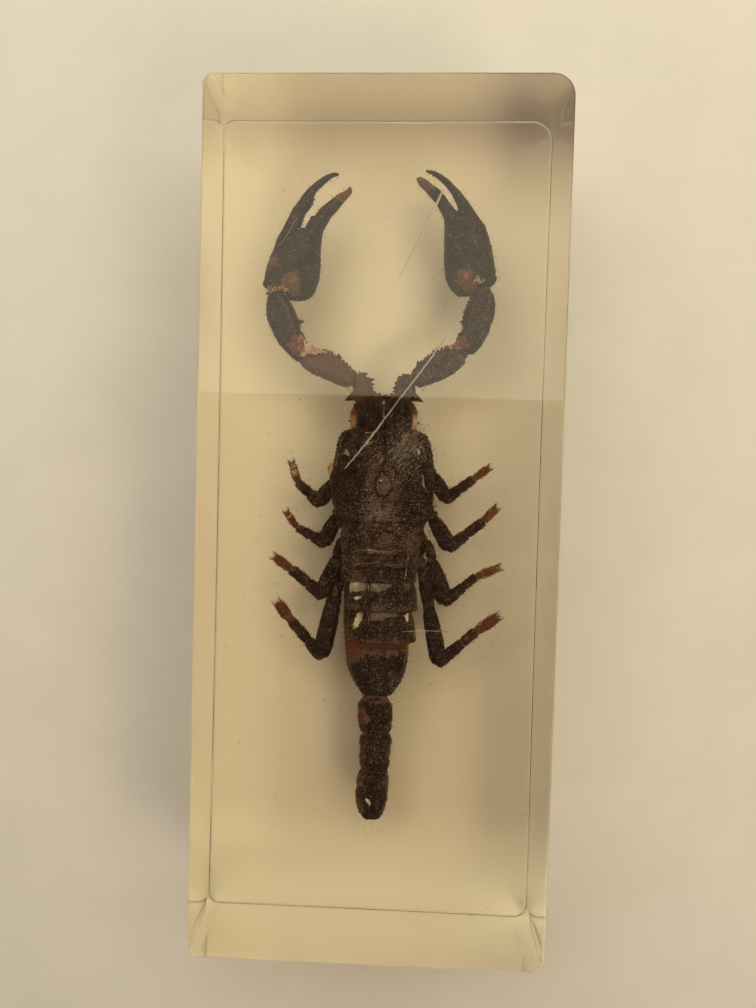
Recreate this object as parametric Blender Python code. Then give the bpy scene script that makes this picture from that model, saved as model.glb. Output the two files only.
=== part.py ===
"""Scorpion cast in a clear resin block.

The block is two resin halves around a pocket, and the scorpion lies in the pocket. Metres, +Z up.
The origin is the middle of the block's underside, +Y points to the claws, and the back of the
scorpion looks up.
"""
import math

import bmesh
import bpy
from mathutils import Matrix, Vector

MM = 0.001
WELD = 0.000001               # loose points closer than this, in metres, become one

# The block, in millimetres
BLOCK_LENGTH = 110.0
BLOCK_WIDTH = 45.0
BLOCK_HEIGHT = 22.0
FRONT_SKEW = 0.025            # rise of the claw end per millimetre of width: the cast is not square
BACK_SKEW = -0.020            # the same for the tail end
CORNER_RADII = {(-1, 1): 1.4, (1, 1): 2.7, (-1, -1): 1.5, (1, -1): 1.9}   # upright edges
TOP_RIM = 0.35                # polished bevel round the top face
BOTTOM_RIM = 0.5              # and round the underside
PARTING_HEIGHT = 11.0         # the halves meet at this height
GAP = 0.3                     # between the halves

# The pocket is the scorpion's form, grown by this much before the facets take some back
POCKET_GROWTH = 0.42

TRUNK_SIDES = 12
LIMB_RESOLUTION = 1           # a limb has 4 sides and 2 more for each resolution

# Head and chest: distance along the body, centre, half width, underside and top
CARAPACE = [
    (12.7, 0.65, 3.9, 8.6, 12.9),
    (12.1, 0.65, 5.1, 7.6, 13.8),
    (10.3, 0.62, 6.1, 6.9, 14.4),
    (7.5, 0.66, 6.5, 6.6, 14.9),
    (3.5, 0.72, 6.7, 6.5, 15.1),
    (0.6, 0.68, 6.3, 6.6, 14.9),
    (-0.5, 0.62, 5.7, 6.9, 14.6),
]

# Back plates: front edge and rear edge along the body, centre, half width and top at the rear edge
TERGITES = [
    (-0.5, -2.5, 0.45, 5.1, 14.6),
    (-2.5, -3.6, 0.40, 5.0, 14.5),
    (-3.6, -5.2, 0.40, 5.0, 14.5),
    (-5.2, -7.3, 0.42, 4.9, 14.5),
    (-7.3, -10.9, 0.60, 4.8, 14.5),
    (-10.9, -15.3, 0.55, 4.7, 14.4),
]
PLATE_STEP = 0.25             # how far a plate's rear edge stands above the next plate
BELLY_HEIGHT = 7.0
ABDOMEN_END = [
    (-15.5, 0.45, 4.2, 7.2, 13.6),
    (-17.2, 0.42, 4.1, 7.5, 13.8),
    (-19.2, 0.45, 3.8, 7.9, 13.7),
    (-20.8, 0.50, 3.1, 8.4, 13.5),
    (-22.3, 0.45, 2.2, 9.1, 13.1),
]
SECTION_POWER = 2.5           # 2 is an ellipse, more is squarer
SHARP_ANGLE = math.radians(40)

# Limb stations are x, y, z and full width. The number before them is depth over width
TAIL = [
    (0.90, [(0.42, -21.6, 11.1, 2.8), (0.42, -23.1, 11.1, 3.2), (0.38, -23.9, 11.1, 4.5),
            (0.40, -26.4, 11.1, 4.1), (0.45, -27.5, 11.1, 2.9)]),
    (0.92, [(0.50, -27.0, 11.1, 2.6), (0.50, -28.0, 11.1, 3.8), (0.46, -31.2, 11.0, 3.9),
            (0.62, -32.5, 10.9, 2.9)]),
    (0.95, [(0.60, -32.0, 10.9, 2.7), (0.40, -33.2, 10.8, 3.7), (0.32, -36.8, 10.4, 4.0),
            (0.25, -38.1, 9.8, 2.8)]),
    (1.00, [(0.28, -36.9, 10.2, 2.4), (0.28, -38.1, 8.9, 2.9), (0.32, -37.2, 6.8, 3.1),
            (0.36, -35.9, 5.9, 2.5)]),
    (0.95, [(0.36, -36.6, 6.1, 2.2), (0.42, -35.2, 5.7, 3.1), (0.48, -31.2, 5.6, 3.1),
            (0.52, -29.7, 5.6, 2.2)]),
    (0.95, [(0.52, -30.2, 5.6, 1.6), (0.54, -29.0, 5.7, 2.8), (0.56, -27.0, 5.7, 2.7),
            (0.58, -25.6, 5.3, 1.3), (0.58, -24.2, 4.7, 0.6), (0.58, -23.3, 4.1, 0.2)]),
]

# The mouth parts in front of the head, and the two small fingers of each
CHELICERAE = [
    (0.85, [(-0.95, 11.4, 11.6, 3.0), (-1.35, 13.4, 11.6, 3.9), (-1.25, 15.4, 11.5, 3.3),
            (-1.15, 16.5, 11.4, 1.9)]),
    (0.85, [(2.15, 11.4, 11.6, 3.0), (2.45, 13.4, 11.6, 4.0), (2.25, 15.4, 11.5, 3.6),
            (2.00, 16.5, 11.4, 1.9)]),
]
CHELICERA_FINGERS = [
    (0.90, [(-1.7, 15.6, 11.4, 1.5), (-1.3, 16.9, 11.2, 0.9), (-0.9, 17.4, 11.0, 0.3)]),
    (0.90, [(-0.5, 15.6, 11.7, 1.4), (-0.3, 17.4, 11.5, 0.4)]),
    (0.90, [(2.6, 15.6, 11.4, 1.5), (2.2, 16.9, 11.2, 0.9), (1.8, 17.5, 11.0, 0.3)]),
    (0.90, [(1.3, 15.6, 11.7, 1.4), (1.1, 17.4, 11.5, 0.4)]),
]
CHELICERA_REACH = 1.3         # how far those fingers pass the mouth parts, for the pocket
CHELICERA_POCKET_WIDTH = 2.8

# The arms, from the body out: coxa, trochanter, femur, patella, hand, inner and outer finger
LEFT_ARM = [
    (0.85, [(-1.7, 10.6, 9.2, 3.2), (-2.8, 16.2, 9.8, 3.0)]),
    (0.85, [(-3.0, 15.9, 9.9, 2.6), (-2.8, 17.2, 10.3, 3.0), (-2.4, 18.6, 10.6, 3.0),
            (-2.7, 19.8, 10.8, 1.4)]),
    (0.82, [(-2.5, 18.6, 10.7, 2.0), (-4.3, 19.4, 10.9, 3.0), (-6.6, 20.6, 11.1, 3.5),
            (-9.3, 21.3, 11.2, 2.6), (-10.7, 22.0, 11.2, 1.7)]),
    (0.82, [(-10.4, 21.9, 11.2, 1.8), (-11.5, 23.3, 11.3, 3.1), (-12.9, 25.9, 11.3, 3.9),
            (-13.6, 28.5, 11.2, 3.2), (-13.8, 30.0, 11.1, 2.2)]),
    (0.66, [(-11.1, 28.5, 11.0, 2.0), (-11.4, 29.4, 11.0, 4.5), (-12.1, 30.7, 11.0, 6.4),
            (-11.9, 33.0, 11.1, 6.7), (-11.2, 36.2, 11.1, 5.9), (-10.7, 38.3, 11.1, 3.4)]),
    (0.85, [(-9.6, 36.3, 11.1, 2.8), (-8.9, 38.7, 11.1, 2.7), (-8.1, 40.0, 11.1, 2.3),
            (-7.0, 41.2, 11.1, 1.8), (-5.6, 42.4, 11.1, 1.3), (-4.5, 43.4, 11.1, 0.4)]),
    (0.85, [(-12.1, 36.2, 11.1, 2.8), (-11.8, 38.7, 11.1, 2.4), (-11.2, 40.3, 11.1, 2.0),
            (-9.6, 42.6, 11.1, 1.6), (-7.4, 44.6, 11.1, 0.9), (-6.2, 45.1, 11.1, 0.4)]),
]
RIGHT_ARM = [
    (0.85, [(2.9, 10.6, 9.2, 3.2), (3.6, 16.2, 9.8, 3.0)]),
    (0.85, [(3.8, 15.9, 9.9, 2.6), (3.5, 17.2, 10.3, 3.0), (3.1, 18.6, 10.6, 2.9),
            (3.3, 19.9, 10.8, 1.4)]),
    (0.82, [(3.1, 18.5, 10.7, 2.0), (4.8, 19.4, 10.9, 2.9), (6.9, 20.8, 11.1, 3.5),
            (9.2, 21.9, 11.2, 2.8), (10.5, 22.9, 11.2, 1.8)]),
    (0.82, [(10.2, 22.6, 11.2, 1.9), (11.2, 24.1, 11.3, 3.1), (12.2, 26.8, 11.3, 3.9),
            (12.8, 29.4, 11.2, 3.3), (12.9, 30.9, 11.1, 2.2)]),
    (0.66, [(10.5, 30.1, 11.0, 2.0), (10.9, 31.0, 11.0, 4.6), (11.2, 32.3, 11.0, 6.3),
            (11.0, 34.4, 11.1, 6.4), (10.6, 37.6, 11.1, 5.7), (10.3, 40.3, 11.1, 3.4)]),
    (0.85, [(9.2, 38.0, 11.1, 2.8), (8.5, 40.4, 11.1, 2.5), (7.4, 41.9, 11.1, 2.0),
            (6.3, 43.1, 11.1, 1.6), (5.0, 44.1, 11.1, 1.1), (3.8, 45.1, 11.1, 0.4)]),
    (0.85, [(11.7, 38.0, 11.1, 2.8), (11.2, 40.2, 11.1, 2.4), (10.2, 41.8, 11.1, 1.9),
            (9.0, 43.3, 11.1, 1.5), (6.7, 45.3, 11.1, 0.9), (4.9, 46.0, 11.1, 0.4)]),
]

# Spikes at the joints of the arms: base, tip and width at the base
SPIKES = [
    ((-3.0, 17.3, 10.0), (-4.7, 16.3, 10.0), 1.5),
    ((-11.4, 26.1, 11.3), (-10.3, 26.3, 11.3), 1.2),
    ((3.7, 17.4, 10.0), (5.5, 16.4, 10.0), 1.5),
    ((11.1, 26.5, 11.3), (10.1, 26.8, 11.3), 1.2),
]

# Legs: coxa, trochanter, end of the trochanter, knee, ankle and tip, front leg first
LEGS = {
    "left": [
        [(-2.3, 7.2, 8.4), (-4.9, 6.4, 8.9), (-6.0, 5.4, 9.3), (-7.9, 2.9, 11.0),
         (-10.8, 5.2, 9.8), (-11.5, 7.7, 8.9)],
        [(-2.3, 3.6, 8.2), (-4.6, 2.1, 8.8), (-5.5, 0.8, 9.2), (-7.3, -2.4, 11.0),
         (-10.7, -0.7, 9.7), (-12.1, 1.2, 8.8)],
        [(-2.3, 0.6, 8.2), (-4.4, -2.4, 8.8), (-5.2, -4.6, 9.2), (-7.5, -9.3, 11.0),
         (-11.4, -6.2, 9.7), (-13.6, -4.8, 8.8)],
        [(-2.3, -1.6, 8.2), (-4.4, -5.4, 8.9), (-5.3, -9.0, 9.4), (-7.2, -17.3, 11.0),
         (-11.3, -13.0, 9.7), (-13.1, -10.9, 8.8)],
    ],
    "right": [
        [(3.6, 7.4, 8.4), (6.1, 7.2, 8.9), (7.3, 6.6, 9.3), (8.9, 3.9, 11.0),
         (12.6, 6.4, 9.8), (14.5, 7.8, 8.9)],
        [(3.6, 3.6, 8.2), (6.3, 2.4, 8.8), (7.4, 0.9, 9.2), (9.8, -2.3, 11.0),
         (14.0, 0.8, 9.7), (15.7, 2.5, 8.8)],
        [(3.6, 0.6, 8.2), (6.3, -2.4, 8.8), (7.3, -4.8, 9.2), (9.5, -9.4, 11.0),
         (13.2, -6.6, 9.7), (16.0, -5.4, 8.8)],
        [(3.4, -1.6, 8.2), (6.3, -5.0, 8.9), (7.1, -10.9, 9.4), (8.9, -17.5, 11.0),
         (13.6, -13.8, 9.7), (16.1, -12.1, 8.8)],
    ],
}
LEG_FLATNESS = 0.85
COXA_WIDTHS = (1.9, 1.9, 1.5)
FEMUR_WIDTHS = (1.4, 2.2, 1.8)
TIBIA_WIDTHS = (1.5, 1.7, 1.1)
TARSUS_WIDTHS = (1.1, 0.7)
JOINT_TUCK = 0.35             # how far each segment starts inside the one before it
LEG_CLAW_LENGTH = 1.1
LEG_CLAW_SPREAD = math.radians(28)
LEG_CLAW_WIDTH = 0.5
LEG_POCKET_WIDTH = 1.3        # the pocket's one wide foot, which clears the claws


def clear_scene():
    """Empty the scene."""
    for item in list(bpy.data.objects):
        bpy.data.objects.remove(item, do_unlink=True)


def new_collection(name):
    """Make a collection under the scene's own."""
    collection = bpy.data.collections.new(name)
    bpy.context.scene.collection.children.link(collection)
    return collection


def evaluated_mesh(item):
    """The object's mesh after its modifiers, with loose caps welded, in world space."""
    bpy.context.view_layer.update()
    depsgraph = bpy.context.evaluated_depsgraph_get()
    mesh = bpy.data.meshes.new_from_object(item.evaluated_get(depsgraph))
    mesh.transform(item.matrix_world)
    work = bmesh.new()
    work.from_mesh(mesh)
    bmesh.ops.remove_doubles(work, verts=work.verts, dist=WELD)
    bmesh.ops.recalc_face_normals(work, faces=work.faces)
    work.to_mesh(mesh)
    work.free()
    return mesh


def place(name, mesh, collection):
    """Put a mesh in the collection as an object."""
    item = bpy.data.objects.new(name, mesh)
    collection.objects.link(item)
    return item


def limb(stations, flatness, resolution, grow, collection):
    """A tapered segment: a curve with a radius at each station, flattened in height.

    Growth widens it and pushes its two ends out.
    """
    points = [Vector(station[:3]) for station in stations]
    points[0] += (points[0] - points[1]).normalized() * grow
    points[-1] += (points[-1] - points[-2]).normalized() * grow
    curve = bpy.data.curves.new("limb", "CURVE")
    curve.dimensions = "3D"
    curve.bevel_depth = MM
    curve.bevel_resolution = resolution
    curve.use_fill_caps = True
    spline = curve.splines.new("POLY")
    spline.points.add(len(points) - 1)
    for target, point, station in zip(spline.points, points, stations):
        target.co = (point.x * MM, point.y * MM, point.z * MM / flatness, 1.0)
        target.radius = station[3] / 2 + grow / flatness
    item = place("limb", curve, collection)
    item.scale.z = flatness
    mesh = evaluated_mesh(item)
    bpy.data.objects.remove(item, do_unlink=True)
    return place("limb", mesh, collection)


def ring(y, centre, half_width, low, high):
    """One ring of the trunk: a rounded rectangle across the body at y."""
    middle = (low + high) / 2
    half_height = (high - low) / 2
    points = []
    for step in range(TRUNK_SIDES):
        angle = 2 * math.pi * (step + 0.5) / TRUNK_SIDES
        across = math.copysign(abs(math.cos(angle)) ** (2 / SECTION_POWER), math.cos(angle))
        upward = math.copysign(abs(math.sin(angle)) ** (2 / SECTION_POWER), math.sin(angle))
        points.append(Vector((centre + across * half_width, y, middle + upward * half_height)) * MM)
    return points


def trunk(sections, grow, collection):
    """Skin the trunk's rings, given from the head end, into one closed solid."""
    work = bmesh.new()
    last = len(sections) - 1
    rings = []
    for index, (y, centre, half_width, low, high) in enumerate(sections):
        end_shift = grow if index == 0 else -grow if index == last else 0.0
        points = ring(y + end_shift, centre, half_width + grow, low - grow, high + grow)
        rings.append([work.verts.new(point) for point in points])
    for near, far in zip(rings, rings[1:]):
        for step in range(TRUNK_SIDES):
            after = (step + 1) % TRUNK_SIDES
            work.faces.new((near[step], near[after], far[after], far[step]))
    work.faces.new(rings[0])
    work.faces.new(rings[-1])
    bmesh.ops.recalc_face_normals(work, faces=work.faces)
    mesh = bpy.data.meshes.new("trunk")
    work.to_mesh(mesh)
    work.free()
    return place("trunk", mesh, collection)


def trunk_sections(stepped):
    """Rings from head to tail. Stepped plates drop in front, and plain ones are one even form."""
    sections = list(CARAPACE)
    for front, rear, centre, half_width, top in TERGITES:
        if stepped:
            sections.append((front - 0.1, centre, half_width - PLATE_STEP, BELLY_HEIGHT,
                             top - PLATE_STEP))
        sections.append((rear, centre, half_width, BELLY_HEIGHT, top))
    return sections + ABDOMEN_END


def spike(base, tip, width, grow, collection):
    """A short four-sided cone from base to tip."""
    start, end = Vector(base), Vector(tip)
    direction = (end - start).normalized()
    start -= direction * grow
    end += direction * grow
    turn = direction.to_track_quat("Z", "Y").to_matrix().to_4x4()
    work = bmesh.new()
    bmesh.ops.create_cone(work, cap_ends=True, segments=4, radius1=(width / 2 + 1.4 * grow) * MM,
                          radius2=(0.04 + 1.2 * grow) * MM, depth=(end - start).length * MM,
                          matrix=Matrix.Translation((start + end) / 2 * MM) @ turn)
    mesh = bpy.data.meshes.new("spike")
    work.to_mesh(mesh)
    work.free()
    return place("spike", mesh, collection)


def along(start, end, widths):
    """Stations at equal steps from start to end, one for each width.

    The first is pulled back into the segment that it grows from.
    """
    start, end = Vector(start), Vector(end)
    tucked = start - (end - start).normalized() * JOINT_TUCK
    count = len(widths) - 1
    return [(*tucked.lerp(end, step / count), width) for step, width in enumerate(widths)]


def leg(joints, grow, collection):
    """One leg's segments: inner stretch, thigh, shin and foot."""
    coxa, trochanter, hip, knee, ankle, tip = joints
    inner = [(*point, width) for point, width in zip((coxa, trochanter, hip), COXA_WIDTHS)]
    foot_widths = TARSUS_WIDTHS
    if grow > 0:
        tip = Vector(tip) + (Vector(tip) - Vector(ankle)).normalized() * LEG_CLAW_LENGTH * 0.7
        foot_widths = (LEG_POCKET_WIDTH, LEG_POCKET_WIDTH)
    stretches = [inner, along(hip, knee, FEMUR_WIDTHS), along(knee, ankle, TIBIA_WIDTHS),
                 along(ankle, tip, foot_widths)]
    return [limb(stations, LEG_FLATNESS, LIMB_RESOLUTION, grow, collection)
            for stations in stretches]


def leg_claws(joints, collection):
    """The two small claws that spread from a foot's tip."""
    ankle, tip = Vector(joints[-2]), Vector(joints[-1])
    foot = (tip - ankle).normalized()
    claws = []
    for side in (-1, 1):
        reach = foot.copy()
        reach.rotate(Matrix.Rotation(side * LEG_CLAW_SPREAD, 3, "Z"))
        start = tip - foot * LEG_CLAW_WIDTH / 2
        claws.append(spike(start, start + reach * LEG_CLAW_LENGTH, LEG_CLAW_WIDTH, 0.0, collection))
    return claws


def fuse(name, parts, collection):
    """Union the overlapping parts into one closed body, all in one step."""
    body = parts[0]
    others = new_collection("others")
    for part in parts[1:]:
        collection.objects.unlink(part)
        others.objects.link(part)
    union = body.modifiers.new("union", "BOOLEAN")
    union.operation = "UNION"
    union.solver = "EXACT"
    union.operand_type = "COLLECTION"
    union.collection = others
    mesh = evaluated_mesh(body)
    mesh.name = name
    mesh.shade_smooth()
    mesh.set_sharp_from_angle(angle=SHARP_ANGLE)
    for part in parts:
        bpy.data.objects.remove(part, do_unlink=True)
    bpy.data.collections.remove(others)
    return place(name, mesh, collection)


def limbs(segments, grow, collection):
    """A limb for each pair of depth over width and stations."""
    return [limb(stations, flatness, LIMB_RESOLUTION, grow, collection)
            for flatness, stations in segments]


def scorpion(name, collection):
    """The whole animal as one body."""
    parts = [trunk(trunk_sections(True), 0.0, collection)]
    parts += limbs(CHELICERAE + CHELICERA_FINGERS + LEFT_ARM + RIGHT_ARM + TAIL, 0.0, collection)
    parts += [spike(*shape, 0.0, collection) for shape in SPIKES]
    for joints in LEGS["left"] + LEGS["right"]:
        parts += leg(joints, 0.0, collection) + leg_claws(joints, collection)
    return fuse(name, parts, collection)


def pocket(name, collection):
    """The larger, plainer form of the scorpion that the block is cut with."""
    parts = [trunk(trunk_sections(False), POCKET_GROWTH, collection)]
    blunt = []
    for flatness, stations in CHELICERAE:
        x, y, z, _ = stations[-1]
        front = (x, y + CHELICERA_REACH, z, CHELICERA_POCKET_WIDTH)
        blunt.append((flatness, stations[:-1] + [front]))
    parts += limbs(blunt + LEFT_ARM + RIGHT_ARM + TAIL, POCKET_GROWTH, collection)
    parts += [spike(*shape, POCKET_GROWTH, collection) for shape in SPIKES]
    for joints in LEGS["left"] + LEGS["right"]:
        parts += leg(joints, POCKET_GROWTH, collection)
    return fuse(name, parts, collection)


def at_corner(vert, side, end):
    """Whether a point of the block is at the corner on this side and end."""
    near_side = vert.co.x * side > 0.45 * BLOCK_WIDTH * MM
    near_end = vert.co.y * end > 0.45 * BLOCK_LENGTH * MM
    return near_side and near_end


def slab(name, low, high, rim_height, rim, collection):
    """One half of the block, from low to high, with its outer rim bevelled."""
    work = bmesh.new()
    bmesh.ops.create_cube(work, size=1.0)
    for corner in work.verts:
        x = math.copysign(BLOCK_WIDTH / 2, corner.co.x)
        skew = FRONT_SKEW if corner.co.y > 0 else BACK_SKEW
        y = math.copysign(BLOCK_LENGTH / 2, corner.co.y) + skew * x
        z = high if corner.co.z > 0 else low
        corner.co = Vector((x, y, z)) * MM
    for (side, end), radius in CORNER_RADII.items():
        upright = [edge for edge in work.edges if all(at_corner(v, side, end) for v in edge.verts)]
        bmesh.ops.bevel(work, geom=upright, offset=radius * MM, segments=4, profile=0.5,
                        affect="EDGES")
    rim_edges = [edge for edge in work.edges
                 if all(abs(vert.co.z - rim_height * MM) < WELD for vert in edge.verts)]
    bmesh.ops.bevel(work, geom=rim_edges, offset=rim * MM, segments=2, profile=0.5,
                    affect="EDGES")
    bmesh.ops.recalc_face_normals(work, faces=work.faces)
    mesh = bpy.data.meshes.new(name)
    work.to_mesh(mesh)
    work.free()
    return place(name, mesh, collection)


def cut_pocket(half, cutter):
    """Take the pocket out of one half of the block. Both are closed, and the exact solver fails."""
    cut = half.modifiers.new("pocket", "BOOLEAN")
    cut.operation = "DIFFERENCE"
    cut.solver = "MANIFOLD"
    cut.object = cutter


def material(name, colour, roughness, transmission=0.0, ior=1.5):
    """A plain Principled material."""
    result = bpy.data.materials.new(name)
    result.use_nodes = True
    shader = result.node_tree.nodes["Principled BSDF"]
    shader.inputs["Base Color"].default_value = (*colour, 1.0)
    shader.inputs["Roughness"].default_value = roughness
    shader.inputs["Metallic"].default_value = 0.0
    shader.inputs["Transmission Weight"].default_value = transmission
    shader.inputs["IOR"].default_value = ior
    return result


def main():
    """Build the three pieces."""
    clear_scene()
    parts = new_collection("scorpion_in_resin_block")
    cutters = new_collection("cutters")

    animal = scorpion("scorpion", parts)
    animal.data.materials.append(material("scorpion", (0.028, 0.016, 0.011), 0.35))

    hollow = pocket("pocket", cutters)
    hollow.hide_render = True
    hollow.display_type = "WIRE"

    resin = material("resin", (0.93, 0.86, 0.66), 0.03, transmission=1.0, ior=1.55)
    lower = slab("resin_lower", 0.0, PARTING_HEIGHT - GAP / 2, 0.0, BOTTOM_RIM, parts)
    upper = slab("resin_upper", PARTING_HEIGHT + GAP / 2, BLOCK_HEIGHT, BLOCK_HEIGHT, TOP_RIM,
                 parts)
    for half in (lower, upper):
        cut_pocket(half, hollow)
        half.data.materials.append(resin)


main()
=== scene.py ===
"""Scorpion cast in a clear resin block: how it looks.

Shapes are worked out in millimetres and become metres when their mesh is made. +Z is up and +Y
points to the claws, as in the frame.
"""
import math

import bpy
import numpy as np
from mathutils import Matrix, Vector


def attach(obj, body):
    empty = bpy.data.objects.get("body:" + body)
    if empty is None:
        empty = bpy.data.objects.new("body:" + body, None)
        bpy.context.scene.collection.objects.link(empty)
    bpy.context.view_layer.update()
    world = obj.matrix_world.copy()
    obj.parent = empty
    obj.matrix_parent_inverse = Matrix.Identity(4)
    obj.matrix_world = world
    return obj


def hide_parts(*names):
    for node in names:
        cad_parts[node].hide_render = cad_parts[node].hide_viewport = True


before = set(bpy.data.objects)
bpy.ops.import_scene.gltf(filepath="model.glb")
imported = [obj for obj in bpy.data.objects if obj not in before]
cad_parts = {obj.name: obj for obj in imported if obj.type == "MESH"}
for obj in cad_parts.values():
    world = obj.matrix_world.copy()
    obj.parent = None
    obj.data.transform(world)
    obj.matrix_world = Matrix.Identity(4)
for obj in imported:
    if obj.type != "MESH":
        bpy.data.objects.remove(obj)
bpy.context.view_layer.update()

MM = 0.001
RANDOM_SEED = 11

# The block, as in the solids
BLOCK_LENGTH = 110.0
BLOCK_WIDTH = 45.0
BLOCK_HEIGHT = 22.0
FRONT_SKEW = 0.025
BACK_SKEW = -0.020
CORNER_RADII = ((1, 1, 2.7), (-1, 1, 1.4), (-1, -1, 1.5), (1, -1, 1.9))
TOP_RIM = 0.35
BOTTOM_RIM = 0.15
RESIN_IOR = 1.55
UNDERSIDE_ROUGHNESS = 0.30       # ground, where the top face is polished
SIDE_SHARE = 0.4                 # of the underside's roughness, on the four sides
RESIN_TINT = (0.81, 0.635, 0.227)
RESIN_TINT_DENSITY = 15.0        # per metre
SHELL_IOR = 1.15
# Pale specks painted on the shell as highlights of its grain
SPECK_HIGHLIGHT_COLOUR = (0.52, 0.41, 0.32)

# Tones of the shell, from 0 to 1
BLACK, BROWN, DUN, RED, RUST, AMBER, PALE, WHITE = 0.0, 0.2, 0.3, 0.4, 0.5, 0.65, 0.85, 1.0
TONE_COLOURS = (
    (BLACK, (0.0122, 0.0087, 0.0094)),
    (BROWN, (0.046, 0.0255, 0.0205)),
    (DUN, (0.190, 0.117, 0.086)),
    (RED, (0.172, 0.064, 0.034)),
    (RUST, (0.25, 0.085, 0.038)),
    (AMBER, (0.53, 0.26, 0.12)),
    (PALE, (0.66, 0.48, 0.32)),
    (WHITE, (0.82, 0.74, 0.60)),
)


# ---------------------------------------------------------------- curves and noise

def smooth(knots, rows, at):
    """Values at places `at` on a smooth curve through the rows, one row at each knot."""
    rows = np.asarray(rows, dtype=float)
    step = np.diff(knots)[:, None]
    slope = np.diff(rows, axis=0) / step
    inner = (slope[:-1] * step[1:] + slope[1:] * step[:-1]) / (step[1:] + step[:-1])
    tangent = np.vstack([slope[:1], inner, slope[-1:]])
    index = np.clip(np.searchsorted(knots, at) - 1, 0, len(knots) - 2)
    width = step[index]
    t = (np.asarray(at) - knots[index])[:, None] / width
    return ((2 * t ** 3 - 3 * t ** 2 + 1) * rows[index]
            + (t ** 3 - 2 * t ** 2 + t) * width * tangent[index]
            + (3 * t ** 2 - 2 * t ** 3) * rows[index + 1]
            + (t ** 3 - t ** 2) * width * tangent[index + 1])


def hashed(cell, salt):
    """A fixed number from 0 to 1 for each whole-number cell."""
    mixed = cell[..., 0] * 374761393 + cell[..., 1] * 668265263 + cell[..., 2] * 1442695041
    mixed = (mixed + salt * 974634777) & 0xFFFFFFFF
    mixed = ((mixed ^ (mixed >> 13)) * 1274126177) & 0xFFFFFFFF
    return ((mixed ^ (mixed >> 16)) & 0xFFFFFF) / float(0xFFFFFF)


def swell(points, size, salt):
    """Smooth noise from -1 to 1 whose lumps are about `size` across."""
    scaled = points / size
    cell = np.floor(scaled).astype(np.int64)
    part = scaled - cell
    part = part * part * (3 - 2 * part)
    total = np.zeros(len(points))
    for corner in np.ndindex(2, 2, 2):
        weight = np.prod(np.where(corner, part, 1 - part), axis=1)
        total += weight * hashed(cell + np.array(corner), salt)
    return 2 * total - 1


def grains(points, size, radius, salt):
    """Round grains from 0 to 1, one in each cell of `size`, each up to `radius` of a cell across."""
    scaled = points / size
    cell = np.floor(scaled).astype(np.int64)
    best = np.zeros(len(points))
    for offset in np.ndindex(3, 3, 3):
        near = cell + np.array(offset) - 1
        centre = near + np.stack([hashed(near, salt + k) for k in range(3)], axis=1)
        reach = radius * (0.55 + 0.45 * hashed(near, salt + 3))
        away = np.linalg.norm(scaled - centre, axis=1) / reach
        best = np.maximum(best, 1 - away ** 2)
    return best


def hump(value, centre, width):
    """A bell curve of height 1."""
    return np.exp(-((value - centre) / width) ** 2)


# ---------------------------------------------------------------- surfaces

PLATE_THICKNESS = 0.3


class Skin:
    """A closed surface of triangles, with a tone at each point."""

    def __init__(self, points, faces, tone=BLACK):
        self.points = np.asarray(points, dtype=float)
        self.faces = np.asarray(faces, dtype=np.int64)
        self.tone = np.zeros(len(self.points)) + tone
        corners = self.points[self.faces]
        if np.einsum("ij,ij->i", corners[:, 0], np.cross(corners[:, 1], corners[:, 2])).sum() < 0:
            self.faces = self.faces[:, ::-1]

    def normals(self):
        """The outward direction at each point."""
        corners = self.points[self.faces]
        across = np.cross(corners[:, 1] - corners[:, 0], corners[:, 2] - corners[:, 0])
        total = np.stack([
            sum(np.bincount(self.faces[:, k], across[:, axis], len(self.points)) for k in range(3))
            for axis in range(3)], axis=1)
        return total / np.maximum(np.linalg.norm(total, axis=1, keepdims=True), 1e-12)

    def lift(self, height, wear_and_shade=0.0):
        """Move each point out by a height. What stands proud is painted lighter and what sinks darker,
        partly as wear and partly as painted highlight and shade.
        """
        self.points = self.points + self.normals() * np.asarray(height)[:, None]
        self.tone = self.tone + wear_and_shade * np.clip(height, -0.15, 0.3)
        return self

    def dye(self, amount, tone):
        """Blend the tone of each point towards another."""
        self.tone = self.tone + (tone - self.tone) * np.clip(amount, 0, 1)
        return self

    def spot(self, x, y, radius, tone):
        """Blend a round spot, as seen from above, towards a tone."""
        away = np.hypot(self.points[:, 0] - x, self.points[:, 1] - y)
        ragged = 1 + 0.35 * swell(self.points, radius * 0.5, 5)
        return self.dye(np.exp(-(away / radius * ragged) ** 4), tone)


def triangles(*corners):
    """Faces from three sets of point numbers. A single number holds for every face."""
    return np.stack(np.broadcast_arrays(*corners), axis=-1).reshape(-1, 3)


def grid_faces(rows, columns, closed):
    """Triangles of a grid of points, row after row. If closed, its last column meets its first."""
    row, column = np.meshgrid(np.arange(rows - 1), np.arange(columns if closed else columns - 1),
                              indexing="ij")
    after = (column + 1) % columns
    a, b = row * columns + column, row * columns + after
    c, d = (row + 1) * columns + after, (row + 1) * columns + column
    return np.concatenate([triangles(a, b, c), triangles(a, c, d)])


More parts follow.
